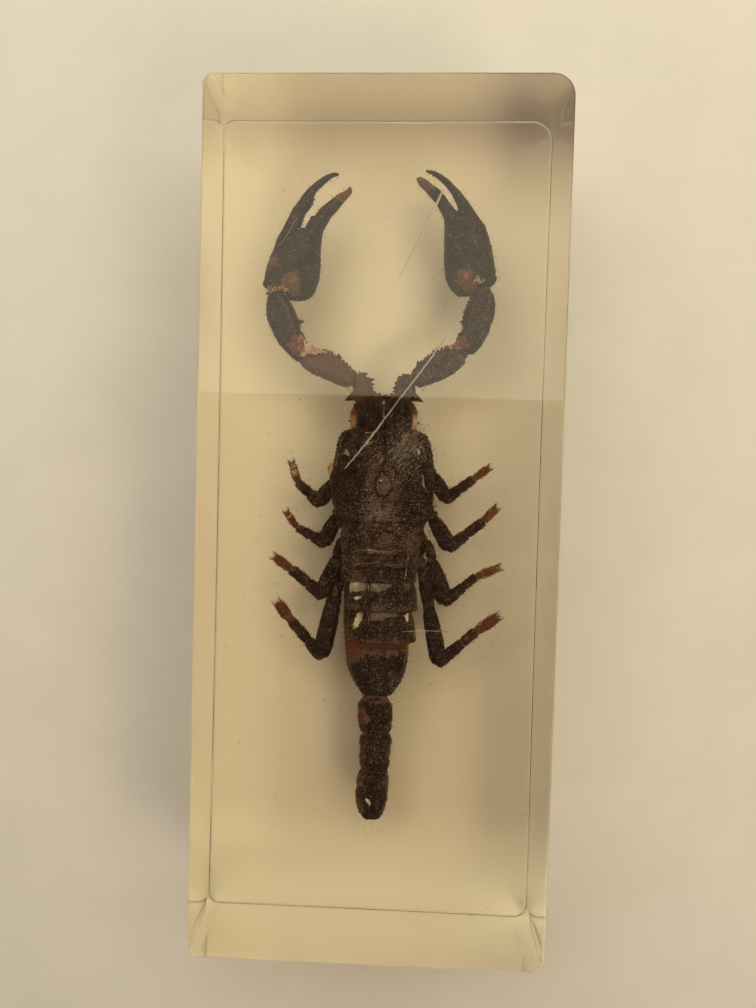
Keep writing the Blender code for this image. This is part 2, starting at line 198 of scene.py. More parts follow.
def tube(ribs, around, spacing, *, caps, tone, power=2.0):
    """A closed limb through its ribs. A rib is two edge points in plan, a height and a thickness.

    The skin keeps the angle round the limb (0 is the first edge, a quarter is the top) and the
    distance along it for each point.
    """
    ribs = np.asarray(ribs, dtype=float)
    centres = np.column_stack([(ribs[:, 0:2] + ribs[:, 2:4]) / 2, ribs[:, 4]])
    knots = np.concatenate([[0], np.cumsum(np.linalg.norm(np.diff(centres, axis=0), axis=1))])
    length = knots[-1]
    bend = np.array([0.08, 0.22, 0.42, 0.66, 0.85])
    middle = np.arange(caps[0], length - caps[1], spacing)
    at = np.concatenate([caps[0] * bend ** 2, middle, length - caps[1] * (bend ** 2)[::-1]])
    at = np.sort(at)
    row = smooth(knots, ribs, at)
    centre = np.column_stack([(row[:, 0:2] + row[:, 2:4]) / 2, row[:, 4]])
    half = np.column_stack([(row[:, 0:2] - row[:, 2:4]) / 2, np.zeros(len(row))])
    forward = np.gradient(centre, axis=0)
    up = np.cross(half, forward)
    up /= np.maximum(np.linalg.norm(up, axis=1, keepdims=True), 1e-9)
    up *= 1 if up[0, 2] > 0 else -1
    thick = np.maximum(row[:, 5:6], 0.05) / 2
    shrink = np.ones(len(at))
    for distance, cap in ((at, caps[0]), (length - at, caps[1])):
        part = np.clip(1 - distance / cap, 0, 1)
        shrink *= np.sqrt(1 - part ** 2)
    angle = 2 * math.pi * np.arange(around) / around
    across = np.sign(np.cos(angle)) * np.abs(np.cos(angle)) ** (2 / power)
    upward = np.sign(np.sin(angle)) * np.abs(np.sin(angle)) ** (2 / power)
    points = (centre[:, None] + shrink[:, None, None]
              * (across[None, :, None] * half[:, None] + upward[None, :, None] * (up * thick)[:, None]))
    count = len(at) * around
    ends = smooth(knots, centres, np.array([0.0, length]))
    turn = np.arange(around)
    after = (turn + 1) % around
    last = count - around
    faces = np.concatenate([grid_faces(len(at), around, True), triangles(count, after, turn),
                            triangles(count + 1, last + turn, last + after)])
    skin = Skin(np.vstack([points.reshape(-1, 3), ends]), faces, tone)
    skin.angle = np.concatenate([np.tile(angle, len(at)), [0, 0]])
    skin.along = np.concatenate([np.repeat(at, around), [0, length]])
    skin.length = length
    return skin


def stretch(path, widths, flatness):
    """Ribs along a path of points in space, square to it in plan, with a width at each point."""
    path = np.asarray(path, dtype=float)
    forward = np.gradient(path, axis=0)
    side = np.column_stack([forward[:, 1], -forward[:, 0]])
    side /= np.linalg.norm(side, axis=1, keepdims=True)
    reach = side * np.asarray(widths)[:, None] / 2
    return np.column_stack([path[:, :2] + reach, path[:, :2] - reach, path[:, 2],
                            np.asarray(widths) * flatness])


def between(start, end, shares):
    """Points at shares of the way from start to end."""
    start, end = np.asarray(start, dtype=float), np.asarray(end, dtype=float)
    return [tuple(start + (end - start) * share) for share in shares]


def shield(rows, across, spacing, power, tone=BLACK, down=False):
    """A solid curved plate. A row is y, left, right, rim height and crown height, from the front.

    The skin keeps the share across (-1 to 1) and the share along (0 to 1) for each point.
    """
    rows = np.asarray(rows, dtype=float)
    knots = rows[0, 0] - rows[:, 0]
    steps = max(6, int(round(knots[-1] / spacing)))
    row = smooth(knots, rows, np.linspace(0, knots[-1], steps))
    share = np.sin(np.linspace(-1, 1, across) * math.pi / 2)
    middle, half = (row[:, 1] + row[:, 2]) / 2, (row[:, 2] - row[:, 1]) / 2
    arch = np.sqrt(np.clip(1 - np.abs(share) ** power, 0, 1))
    x = middle[:, None] + half[:, None] * share[None]
    y = np.repeat(row[:, :1], across, axis=1)
    z = row[:, 3:4] + (row[:, 4:5] - row[:, 3:4]) * arch[None]
    points = np.stack([x, y, z], axis=-1).reshape(-1, 3)
    count = len(points)
    loop = np.concatenate([np.arange(across), np.arange(1, steps) * across + across - 1,
                           (steps - 1) * across + np.arange(across - 2, -1, -1),
                           np.arange(steps - 2, 0, -1) * across])
    lowered = points[loop] + np.array([0, 0, PLATE_THICKNESS if down else -PLATE_THICKNESS])
    centre = lowered.mean(axis=0)
    turn = np.arange(len(loop))
    after = (turn + 1) % len(loop)
    under = count + turn
    faces = np.concatenate([grid_faces(steps, across, False), triangles(loop, under, count + after),
                            triangles(loop, count + after, loop[after]),
                            triangles(count + len(loop), count + after, under)])
    skin = Skin(np.vstack([points, lowered, centre]), faces, tone)
    rest = np.ones(len(loop) + 1)
    skin.across = np.concatenate([np.tile(share, steps), rest * 2])
    skin.along = np.concatenate([np.repeat(np.linspace(0, 1, steps), across), rest])
    skin.face_up = np.concatenate([np.ones(count), rest * 0])
    return skin


def inner_distance(x, y, corners):
    """How far points are inside an outline in plan. It is negative outside."""
    inside = np.zeros(len(x), dtype=bool)
    nearest = np.full(len(x), 1e9)
    for (ax, ay), (bx, by) in zip(corners, corners[1:] + corners[:1]):
        if ay != by:
            crosses = ((ay > y) != (by > y)) & (x < ax + (bx - ax) * (y - ay) / (by - ay))
            inside ^= crosses
        share = ((x - ax) * (bx - ax) + (y - ay) * (by - ay)) / ((bx - ax) ** 2 + (by - ay) ** 2)
        share = np.clip(share, 0, 1)
        nearest = np.minimum(nearest, np.hypot(x - ax - (bx - ax) * share, y - ay - (by - ay) * share))
    return np.where(inside, nearest, -nearest)


def pane(corners, height, gap, ragged, step, salt=700):
    """A thin closed sheet inside an outline in plan, and how far inside it each point is.

    The height is a function of x and y. Half the sheet's thickness is the gap.
    """
    low, high = np.min(corners, axis=0) - 0.2, np.max(corners, axis=0) + 0.2
    xs, ys = (np.arange(low[axis], high[axis], step) for axis in range(2))
    x, y = (part.ravel() for part in np.meshgrid(xs, ys, indexing="ij"))
    flat = np.column_stack([x, y, np.zeros(len(x))])
    depth = inner_distance(x + ragged * swell(flat, 0.3, salt), y + ragged * swell(flat, 0.3, salt + 1),
                           corners)
    cells = grid_faces(len(xs), len(ys), False)
    cells = cells[(depth > 0)[cells].all(axis=1)]
    pinches = [-1]
    while len(pinches):
        cells = cells[~np.isin(cells, pinches).any(axis=1)]
        edges = np.concatenate([cells[:, [0, 1]], cells[:, [1, 2]], cells[:, [2, 0]]])
        known = set(map(tuple, edges.tolist()))
        rim = np.array([edge for edge in edges.tolist() if (edge[1], edge[0]) not in known])
        starts, meetings = np.unique(rim[:, 0], return_counts=True)
        pinches = starts[meetings > 1]
    used, index = np.unique(cells, return_inverse=True)
    faces = index.reshape(-1, 3)
    rim = np.searchsorted(used, rim)
    count = len(used)
    first, second = rim.T
    walls = np.concatenate([triangles(second, first, first + count),
                            triangles(second, first + count, second + count)])
    level = height(x[used], y[used])
    points = np.concatenate([np.column_stack([x[used], y[used], level + side * gap])
                             for side in (1, -1)])
    result = Skin(points, np.concatenate([faces, faces[:, ::-1] + count, walls]))
    return result, np.tile(depth[used], 2)


def rag(corners, level, tone, salt, relief=0.3):
    """A crumpled scrap of thin skin inside an outline in plan, about a level."""
    def height(x, y):
        flat = np.column_stack([x, y, np.zeros(len(x))])
        folds = swell(flat, 0.55, salt) + 0.6 * np.abs(swell(flat, 0.28, salt + 1))
        return level + relief * folds

    result, depth = pane(corners, height, 0.035, 0.22, 0.07, salt + 2)
    folds = (result.points[:, 2] - level) / relief
    # Raised folds painted lighter and low ones darker, as highlight and shade, with a random mottle
    result.tone = tone + 0.10 * np.clip(folds, -1.5, 1) + 0.12 * swell(result.points, 0.22, salt + 5)
    return result.dye(0.6 * (depth < 0.08), tone - 0.15)


def ball(centre, radius, tone=BLACK, steps=14):
    """A small ball."""
    lean = np.linspace(0, math.pi, steps)
    turn = 2 * math.pi * np.arange(2 * steps) / (2 * steps)
    ring = np.stack([np.sin(lean)[1:-1, None] * np.cos(turn), np.sin(lean)[1:-1, None] * np.sin(turn),
                     np.repeat(np.cos(lean)[1:-1, None], len(turn), axis=1)], axis=-1).reshape(-1, 3)
    count, sides = len(ring), len(turn)
    index = np.arange(sides)
    after = (index + 1) % sides
    last = count - sides
    faces = np.concatenate([grid_faces(steps - 2, sides, True), triangles(count, after, index),
                            triangles(count + 1, last + index, last + after)])
    points = np.vstack([ring, [[0, 0, 1], [0, 0, -1]]]) * np.asarray(radius) + np.array(centre)
    return Skin(points, faces, tone)


def thorn(base, tip, width, tone, sides=10):
    """A pointed spine from base to tip."""
    path = between(base, tip, (0, 0.35, 0.7, 1.0))
    ribs = stretch(path, [width, width * 0.75, width * 0.4, width * 0.08], 0.9)
    return tube(ribs, sides, 0.1, caps=(0.1, 0.05), tone=tone)


def bristles(roots, ways, lengths, radius, tone):
    """Fine bent hairs, each with three sides, a point and a buried root."""
    roots, ways = np.asarray(roots), np.asarray(ways)
    ways = ways / np.linalg.norm(ways, axis=1, keepdims=True)
    lengths = np.asarray(lengths)[:, None]
    helper = np.where(np.abs(ways[:, 2:]) > 0.8, [[1.0, 0, 0]], [[0, 0, 1.0]])
    side = np.cross(ways, helper)
    side /= np.linalg.norm(side, axis=1, keepdims=True)
    other = np.cross(ways, side)
    rings = []
    for share, scale, sag in ((0.0, 1.0, 0.0), (0.55, 0.7, 0.06)):
        centre = roots + ways * lengths * share - other * lengths * sag
        for k in range(3):
            angle = 2 * math.pi * k / 3
            rings.append(centre + (side * math.cos(angle) + other * math.sin(angle)) * radius * scale)
    tip = roots + ways * lengths
    points = np.stack(rings + [tip, roots], axis=1)
    pattern = []
    for k in range(3):
        after = (k + 1) % 3
        pattern += [(k, after, 3 + after), (k, 3 + after, 3 + k), (3 + k, 3 + after, 6), (after, k, 7)]
    faces = (np.arange(len(roots))[:, None, None] * 8 + np.array(pattern)[None]).reshape(-1, 3)
    return Skin(points.reshape(-1, 3), faces, tone)


def scatter(skin, count, rng, weight=None):
    """Random points on a skin and the outward direction there. A weight picks where they fall."""
    corners = skin.points[skin.faces]
    across = np.cross(corners[:, 1] - corners[:, 0], corners[:, 2] - corners[:, 0])
    area = np.linalg.norm(across, axis=1)
    share = area if weight is None else area * weight[skin.faces].mean(axis=1)
    picked = rng.choice(len(area), size=count, p=share / share.sum())
    a, b = rng.random(count), rng.random(count)
    folded = a + b > 1
    a, b = np.where(folded, 1 - a, a)[:, None], np.where(folded, 1 - b, b)[:, None]
    spot = corners[picked, 0] * (1 - a - b) + corners[picked, 1] * a + corners[picked, 2] * b
    return spot, across[picked] / area[picked][:, None]


def hair(skin, count, rng, length, radius=0.022, along=(0, 0, 0), weight=None, tone=RUST):
    """Bristles scattered on a skin that lean along a direction."""
    spot, out = scatter(skin, count, rng, weight)
    way = out + np.asarray(along) + rng.normal(0, 0.25, (count, 3))
    lengths = length * (0.5 + rng.random(count))
    return bristles(spot - out * 0.03, way, lengths, radius, tone)


# ---------------------------------------------------------------- objects

def new_object(name, mesh):
    """Put a mesh in the scene."""
    item = bpy.data.objects.new(name, mesh)
    bpy.context.scene.collection.objects.link(item)
    return item


def dress(name, skins, material, replaces=()):
    """Join skins into one object that rides on the block's body."""
    points, faces, tones, start = [], [], [], 0
    for skin in skins:
        points.append(skin.points * MM)
        faces.append(skin.faces + start)
        tones.append(skin.tone)
        start += len(skin.points)
    mesh = bpy.data.meshes.new(name)
    mesh.from_pydata(np.vstack(points), [], np.vstack(faces).tolist())
    mesh.shade_smooth()
    tone = mesh.attributes.new("tone", "FLOAT", "POINT")
    tone.data.foreach_set("value", np.concatenate(tones).astype(np.float32))
    mesh.materials.append(material)
    item = new_object(name, mesh)
    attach(item, "root")
    if replaces:
        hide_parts(*replaces)


# ---------------------------------------------------------------- materials

NOISE_ROUGHNESS = 0.6
AIR_IOR = 1.4
# Tones of the air films' painted reflection, from 0 to 1: dark at the edges to pale in the middle
GLINT_FILM_COLOURS = ((0.0, (0.03, 0.019, 0.012)), (0.35, (0.16, 0.12, 0.075)),
               (0.7, (0.5, 0.42, 0.28)), (1.0, (0.95, 0.86, 0.66)))


def material(name):
    """An empty Principled material, its nodes and its shader."""
    result = bpy.data.materials.new(name)
    result.use_nodes = True
    return result, result.node_tree, result.node_tree.nodes["Principled BSDF"]


def ramp(tree, value, stops):
    """A colour ramp read by a value."""
    node = tree.nodes.new("ShaderNodeValToRGB")
    bar = node.color_ramp
    bar.elements[0].position, bar.elements[0].color = stops[0][0], (*stops[0][1], 1)
    bar.elements[1].position, bar.elements[1].color = stops[-1][0], (*stops[-1][1], 1)
    for place, colour in stops[1:-1]:
        bar.elements.new(place).color = (*colour, 1)
    tree.links.new(value, node.inputs["Fac"])
    return node.outputs["Color"]


def attribute(tree, name):
    """A value that a mesh keeps at its points or faces."""
    node = tree.nodes.new("ShaderNodeAttribute")
    node.attribute_name = name
    return node.outputs["Fac"]


def noise(tree, scale, detail=4.0):
    """Noise in object space."""
    where = tree.nodes.new("ShaderNodeTexCoord")
    node = tree.nodes.new("ShaderNodeTexNoise")
    node.inputs["Scale"].default_value = scale
    node.inputs["Detail"].default_value = detail
    node.inputs["Roughness"].default_value = NOISE_ROUGHNESS
    tree.links.new(where.outputs["Object"], node.inputs["Vector"])
    return node.outputs["Fac"]


def spread(tree, value, low, high, start=0.3, end=0.7):
    """A value stretched from start..end to low..high."""
    node = tree.nodes.new("ShaderNodeMapRange")
    node.inputs["From Min"].default_value = start
    node.inputs["From Max"].default_value = end
    node.inputs["To Min"].default_value = low
    node.inputs["To Max"].default_value = high
    tree.links.new(value, node.inputs["Value"])
    return node.outputs["Result"]


def bump(tree, height, strength, distance):
    """Relief too fine for the mesh."""
    node = tree.nodes.new("ShaderNodeBump")
    node.inputs["Strength"].default_value = strength
    node.inputs["Distance"].default_value = distance
    tree.links.new(height, node.inputs["Height"])
    return node.outputs["Normal"]


def combined(tree, operation, first, second):
    """Two values added or multiplied."""
    node = tree.nodes.new("ShaderNodeMath")
    node.operation = operation
    tree.links.new(first, node.inputs[0])
    tree.links.new(second, node.inputs[1])
    return node.outputs["Value"]


def plus(tree, first, second):
    """The sum of two values."""
    return combined(tree, "ADD", first, second)


def mixed(tree, share, first, second):
    """A share of a plain second colour laid over the first."""
    node = tree.nodes.new("ShaderNodeMix")
    node.data_type = "RGBA"
    tree.links.new(share, node.inputs["Factor"])
    tree.links.new(first, node.inputs[6])
    node.inputs[7].default_value = (*second, 1)
    return node.outputs[2]


def shell_material():
    """Horny shell: black to rust and pale skin by the tone of each point, mottled, with pale specks
    painted on as highlights of the grain.
    """
    result, tree, shader = material("shell")
    tone = attribute(tree, "tone")
    broad = spread(tree, noise(tree, 800.0, 5.0), -0.09, 0.13)
    fine = spread(tree, noise(tree, 3800.0, 3.0), -0.15, 0.15)
    change = plus(tree, broad, fine)
    darkness = spread(tree, tone, 1.0, 0.3, 0.12, 0.4)
    mottled = plus(tree, tone, combined(tree, "MULTIPLY", change, darkness))
    # Pale specks over the grain: painted highlights
    speck = combined(tree, "MULTIPLY", spread(tree, noise(tree, 6500.0, 2.0), 0.0, 0.7, 0.58, 0.74),
                     spread(tree, noise(tree, 500.0, 2.0), 0.0, 1.0, 0.40, 0.62))
    colour = mixed(tree, combined(tree, "MULTIPLY", speck, darkness),
                   ramp(tree, mottled, TONE_COLOURS), SPECK_HIGHLIGHT_COLOUR)
    tree.links.new(colour, shader.inputs["Base Color"])
    tree.links.new(spread(tree, noise(tree, 1500.0), 0.28, 0.5), shader.inputs["Roughness"])
    tree.links.new(bump(tree, noise(tree, 5200.0, 3.0), 0.5, 0.00006), shader.inputs["Normal"])
    shader.inputs["IOR"].default_value = SHELL_IOR
    return result


def glint_film_material():
    """A film of air against the shell, coloured as a painted reflection: dark at its edges, pale and
    glossy in its middle.
    """
    result, tree, shader = material("glint_film")
    tone = attribute(tree, "tone")
    tree.links.new(ramp(tree, tone, GLINT_FILM_COLOURS), shader.inputs["Base Color"])
    tree.links.new(spread(tree, noise(tree, 1500.0), 0.15, 0.3), shader.inputs["Roughness"])
    shader.inputs["IOR"].default_value = AIR_IOR
    return result


def plain_material(name, colour, roughness, ior, alpha=1.0):
    """One colour with a slight mottle."""
    result, tree, shader = material(name)
    dark = tuple(0.8 * part for part in colour)
    tree.links.new(ramp(tree, noise(tree, 1200.0), ((0.35, dark), (0.65, colour))),
                   shader.inputs["Base Color"])
    shader.inputs["Roughness"].default_value = roughness
    shader.inputs["IOR"].default_value = ior
    shader.inputs["Alpha"].default_value = alpha
    return result


def resin_material():
    """Clear resin with a honey cast that deepens with its thickness."""
    result, tree, shader = material("resin")
    shader.inputs["Base Color"].default_value = (1, 1, 1, 1)
    shader.inputs["Transmission Weight"].default_value = 1.0
    tree.links.new(spread(tree, attribute(tree, "ground"), 0.0, UNDERSIDE_ROUGHNESS, 0.0, 1.0),
                   shader.inputs["Roughness"])
    shader.inputs["IOR"].default_value = RESIN_IOR
    absorb = tree.nodes.new("ShaderNodeVolumeAbsorption")
    absorb.inputs["Color"].default_value = (*RESIN_TINT, 1)
    absorb.inputs["Density"].default_value = RESIN_TINT_DENSITY
    tree.links.new(absorb.outputs["Volume"], tree.nodes["Material Output"].inputs["Volume"])
    return result


# ---------------------------------------------------------------- the trunk

# Soft body between the plates: y, left, right, underside and top
BODY = [
    (12.2, -2.6, 3.8, 8.4, 11.6), (10.0, -4.6, 5.8, 7.2, 12.6), (6.0, -5.4, 6.6, 6.8, 13.0),
    (1.0, -5.0, 6.4, 6.7, 13.0), (-2.0, -4.3, 5.6, 6.9, 13.2), (-5.0, -4.15, 5.2, 7.0, 13.2),
    (-7.0, -4.3, 5.0, 7.0, 13.4), (-10.2, -4.15, 5.1, 7.1, 13.4), (-12.0, -4.2, 4.7, 7.1, 13.3),
    (-15.0, -4.0, 4.6, 7.2, 13.2), (-17.5, -3.7, 4.5, 7.4, 13.2), (-19.3, -3.35, 4.2, 7.8, 13.1),
    (-20.9, -2.6, 3.6, 8.3, 12.9), (-22.4, -1.6, 2.5, 9.2, 12.5),
]

# The head shield: y, left, right, rim and crown
HEAD_SHIELD = [
    (12.6, -3.2, 4.4, 11.4, 12.9), (12.2, -4.5, 5.6, 11.0, 13.4), (11.3, -5.3, 6.4, 10.7, 13.9),
    (10.0, -5.6, 6.8, 10.5, 14.3), (8.4, -5.95, 7.1, 10.4, 14.7), (6.4, -6.4, 7.25, 10.3, 15.0),
    (4.0, -6.2, 7.25, 10.3, 15.1), (2.0, -5.8, 7.0, 10.4, 15.0), (0.4, -5.3, 6.4, 10.6, 14.8),
    (-0.6, -4.8, 5.8, 10.8, 14.5),
]
MIDLINE = 0.6
# Loose scraps of pale skin beside the head shield, the legs and the mouth: outline, level and tone
FLAKES = [
    ([(-6.6, 7.9), (-6.1, 8.1), (-5.95, 7.0), (-6.25, 6.2), (-6.7, 6.8)], 11.2, 0.82),
    ([(7.1, 4.0), (7.6, 3.8), (7.8, 3.0), (7.65, 2.2), (7.2, 2.0)], 10.8, 0.82),
    ([(6.7, -0.5), (7.0, -0.5), (7.1, -1.5), (6.9, -2.0), (6.6, -2.0), (6.6, -1.5)], 10.4, 0.8),
    ([(-5.8, -8.4), (-5.3, -8.1), (-5.0, -8.8), (-5.2, -9.6), (-5.6, -9.3)], 11.2, 0.37),
    ([(6.2, -3.4), (6.5, -3.4), (6.6, -4.5), (6.4, -4.9), (6.2, -4.4)], 10.6, 0.8),
    ([(-5.0, 17.9), (-4.3, 18.25), (-3.6, 18.1), (-3.5, 17.5), (-3.9, 17.1), (-4.4, 17.4)], 10.9, 0.87),
    ([(4.9, 18.0), (5.6, 18.2), (5.5, 17.5), (5.1, 17.2)], 11.6, 0.85),
]
# Dark spines that stand out from the shoulders and from the sides of the front
SHOULDER_SPINES = [
    ((-4.9, 11.3, 12.4), (-5.5, 11.3, 12.4)), ((5.3, 11.4, 12.6), (6.25, 11.75, 12.6)),
    ((-5.2, 10.4, 12.6), (-5.75, 10.3, 12.6)), ((-3.7, 13.62, 9.9), (-4.25, 13.6, 9.9)),
    ((4.7, 13.57, 9.9), (5.25, 13.55, 9.9)), ((5.9, 10.9, 12.6), (6.5, 10.8, 12.6)),
]
EYE_MOUND = (0.57, 5.3)

# Back plates: front and rear, then left, right and crown at the front and at the rear
BACK_PLATES = [
    (-0.2, -2.55, (-4.6, 5.6, 14.2), (-4.6, 5.5, 14.6)),
    (-2.2, -3.6, (-4.4, 5.4, 14.15), (-4.5, 5.4, 14.55)),
    (-3.3, -5.2, (-4.4, 5.3, 14.1), (-4.5, 5.3, 14.5)),
    (-4.9, -7.3, (-4.4, 5.2, 14.1), (-4.3, 5.1, 14.5)),
    (-7.0, -11.0, (-4.0, 4.9, 14.05), (-3.6, 5.4, 14.5)),
    (-10.7, -15.1, (-3.5, 4.7, 14.0), (-3.4, 5.3, 14.4)),
]
BACK_PLATE_RIM = 12.0
LAST_BACK_PLATE = [
    (-16.1, -3.3, 4.3, 12.4, 13.7), (-17.5, -3.3, 4.4, 12.0, 14.0), (-19.2, -3.0, 4.1, 11.8, 13.9),
    (-20.8, -2.4, 3.5, 11.7, 13.6), (-22.3, -1.5, 2.5, 11.6, 13.2),
]
BELLY_PLATES = [(-3.0, -6.4), (-6.2, -9.7), (-9.5, -13.0), (-12.8, -16.5), (-16.3, -22.2)]


def soft_body():
    """The skin-covered body that the plates lie on. It shows at the sides and between two plates."""
    ribs = [(left, y, right, y, (low + high) / 2, high - low) for y, left, right, low, high in BODY]
    skin = tube(ribs, 120, 0.16, power=2.6, caps=(0.8, 0.5), tone=0.24)
    folds = np.sin(skin.along * 9.0 + 2 * swell(skin.points, 1.2, 21))
    skin.lift(0.05 * folds + 0.06 * swell(skin.points, 0.5, 22))
    y = skin.points[:, 1]
    bare = hump(y, -15.9, 1.1) * (skin.points[:, 2] > 11)
    skin.dye(bare * (0.65 + 0.5 * swell(skin.points * [0.4, 1, 1], 0.4, 23)), RED + 0.03)
    skin.dye(bare * np.clip(-2.0 - skin.points[:, 0], 0, 0.8), RED + 0.04)
    skin.dye(bare * np.clip(skin.points[:, 0] - 3.4, 0, 1), RUST + 0.04)
    skin.dye((y > -7.0) * 0.8, BROWN)
    return skin


def head_shield():
    """The shield over head and chest, with furrows, the eye mound and granular sides."""
    skin = shield(HEAD_SHIELD, across=150, spacing=0.09, power=2.5, tone=0.05)
    x, y = skin.points[:, 0], skin.points[:, 1]
    top = skin.face_up
    from_front = np.clip(1 - skin.along / 0.16, 0, 1)
    lobes = 0.35 * hump(x, MIDLINE - 1.7, 1.2) + 0.35 * hump(x, MIDLINE + 1.7, 1.2)
    skin.points[:, 1] += from_front * (lobes - 0.45 * hump(x, MIDLINE, 0.5))
    off_middle = x - MIDLINE
    mound_x, mound_y = EYE_MOUND
    from_mound = np.sqrt(((x - mound_x) / 0.85) ** 2 + ((y - mound_y) / 1.2) ** 2)
    relief = 0.42 * np.exp(-from_mound ** 4) - 0.16 * hump(from_mound, 1.35, 0.22)
    furrow = hump(off_middle, 0, 0.17) * (np.clip((y - 7.0) * 2, 0, 1) + np.clip((3.6 - y) * 2, 0, 1))
    relief -= 0.24 * furrow
    for side in (-1, 1):
        bend = off_middle * side - 1.1 - 0.16 * (y - 1.0) ** 2
        relief -= 0.18 * hump(bend, 0, 0.2) * (y < 4.6) * (y > -0.2)
        relief += 0.16 * np.exp(-((off_middle * side - 2.0) / 1.3) ** 2 - ((y - 10.3) / 1.4) ** 2)
        relief -= 0.14 * hump(off_middle * side - 3.4 - 0.25 * np.sin(y), 0, 0.22) * hump(y, 6.5, 3.0)
    relief -= 0.20 * hump(y, 0.35, 0.22)
    relief += 0.08 * hump(skin.along, 0.985, 0.012)
    sides = np.clip((np.abs(skin.across) - 0.22) / 0.35, 0, 1)
    rough = np.clip(sides + np.clip((y - 9.5) / 2.5, 0, 1) + 0.25, 0, 1)
    relief += rough * (0.13 * grains(skin.points, 0.42, 0.55, 31) ** 1.2
                       + 0.05 * grains(skin.points, 0.21, 0.6, 35))
    relief += 0.05 * swell(skin.points, 0.7, 38) + 0.02 * swell(skin.points, 0.25, 39)
    relief += 0.06 * np.sin(from_mound * 8.0) * hump(from_mound, 2.4, 1.1)
    skin.lift(relief * top, 0.9)
    middle = np.exp(-((off_middle + 0.3) / 2.5) ** 4 - ((y - 3.9) / 4.6) ** 4)
    # The smooth middle is dun, painted darker as shade where it sinks into the furrows
    skin.dye(middle * (0.95 + 0.3 * swell(skin.points, 0.8, 40)),
             DUN + 0.01 + 0.6 * np.clip(relief, -0.25, 0.0))
    # A dark ring painted as shade in the moat round the eye mound
    skin.dye(hump(from_mound, 1.25, 0.2) * 0.95, BLACK + 0.04)
    skin.dye(hump(from_mound, 1.8, 0.12) * 0.6, BROWN - 0.1)
    skin.dye(hump(from_mound, 2.3, 0.12) * 0.4, BROWN - 0.1)
    patches = 0.5 + 0.5 * swell(skin.points, 0.4, 41)
    skin.dye(hump(y, 10.5, 1.6) * hump(off_middle, 2.9, 1.6) * patches, BROWN + 0.12)
    skin.dye(hump(y, -0.1, 0.5) * 0.5, BROWN)
    skin.dye(np.abs(skin.across) > 0.985, BROWN)
    return skin


def eyes():
    """Two eyes on the mound, and three small ones at each front corner."""
    mound_x, mound_y = EYE_MOUND
    found = [ball((mound_x + side * 0.42, mound_y + 0.25, 15.32), (0.2, 0.24, 0.2)) for side in (-1, 1)]
    found += [thorn(base, tip, 0.5, BROWN - 0.1) for base, tip in SHOULDER_SPINES]
    for side in (-1, 1):
        for step in range(3):
            x = MIDLINE + side * (4.55 + 0.28 * step)
            found.append(ball((x, 11.55 - 0.42 * step, 13.05 - 0.18 * step), 0.17))
    return found


def back_plate(index):
    """One of the six plates behind the head shield, a smooth front band and a raised rear part."""
    front, rear, (left_a, right_a, crown_a), (left_b, right_b, crown_b) = BACK_PLATES[index]
    rows = []
    for share in (0.0, 0.25, 0.5, 0.75, 1.0):
        swollen = 0.10 * math.sin(math.pi * share)
        rows.append((front + (rear - front) * share,
                     left_a + (left_b - left_a) * share - swollen,
                     right_a + (right_b - right_a) * share + swollen,
                     BACK_PLATE_RIM + 0.3 * (1 - share),
                     crown_a + (crown_b - crown_a) * math.sqrt(share)))
    skin = shield(rows, across=110, spacing=0.085, power=2.7)
    along, across = skin.along, skin.across
    step = 1 / (1 + np.exp(-(along - 0.3) * 40))
    relief = 0.10 * step + 0.07 * hump(along, 0.95, 0.05) + 0.09 * hump(across, 0.02, 0.045) * step
    relief -= 0.09 * (hump(across, -0.42, 0.12) + hump(across, 0.44, 0.12)) * hump(along, 0.55, 0.2)
    rough = step * (0.35 + 0.65 * np.clip((np.abs(across) - 0.3) / 0.4, 0, 1))
    relief += rough * 0.075 * grains(skin.points, 0.3, 0.55, 50 + index)
    relief += 0.035 * swell(skin.points, 0.55, 60 + index)
    skin.lift(relief * skin.face_up, 0.9)
    skin.points[:, 1] += 0.12 * swell(skin.points * [1, 0.1, 0.1], 0.9, 76 + index) * along
    skin.dye(np.clip((np.abs(across) - 0.8) / 0.15, 0, 1) * 0.5 * skin.face_up, DUN)
    # A ragged band along each plate's rear edge painted lighter, as a highlight
    ragged = 0.55 + 0.45 * swell(skin.points * [1, 0.2, 0.2], 0.6, 66 + index)
    skin.dye(hump(along, 1.0, 0.06) * ragged * 0.8, BROWN + 0.05)
    if index < 2:
        skin.dye(hump(across, -0.02, 0.5) * (0.6 + 0.4 * swell(skin.points, 0.7, 84)), BROWN + 0.07)
        skin.dye(hump(across, 0.7, 0.2) * 0.6, DUN + 0.05)
    if index in (2, 3):
        skin.dye(hump(across, -0.62, 0.2) * (0.6 + 0.4 * swell(skin.points, 0.5, 85)), RED - 0.08)
    if index >= 4:
        skin.dye(np.clip((along - 0.72) / 0.2, 0, 1) * 0.4 * skin.face_up, DUN)
    return skin


def last_back_plate():
    """The seventh plate, which narrows to the tail and has four granular ridges."""
    skin = shield(LAST_BACK_PLATE, across=110, spacing=0.09, power=2.5)
    across, along = skin.across, skin.along
    beads = 0.6 + 0.4 * np.sin(skin.points[:, 1] * 14.0)
    relief = 0.035 * swell(skin.points, 0.5, 70) + 0.09 * grains(skin.points, 0.32, 0.55, 71)
    for place in (-0.62, -0.27, 0.27, 0.62):
        relief += 0.16 * hump(across, place, 0.05) * beads * np.clip((along - 0.18) * 5, 0, 1)
    skin.lift(relief * skin.face_up, 0.9)
    border = along + 0.08 * swell(skin.points, 0.6, 72)
    patches = 0.7 + 0.4 * swell(skin.points, 0.35, 73)
    skin.dye(np.clip(2.0 - border / 0.10, 0, 1) * patches, RED - 0.04)
    skin.dye(np.clip(-0.3 - across, 0, 0.4) * 2 * np.clip(1.5 - along / 0.3, 0, 1), RED + 0.06)
    skin.dye(np.clip((np.abs(across) - 0.8) / 0.15, 0, 1) * 0.6 * skin.face_up, DUN + 0.02)
    return skin


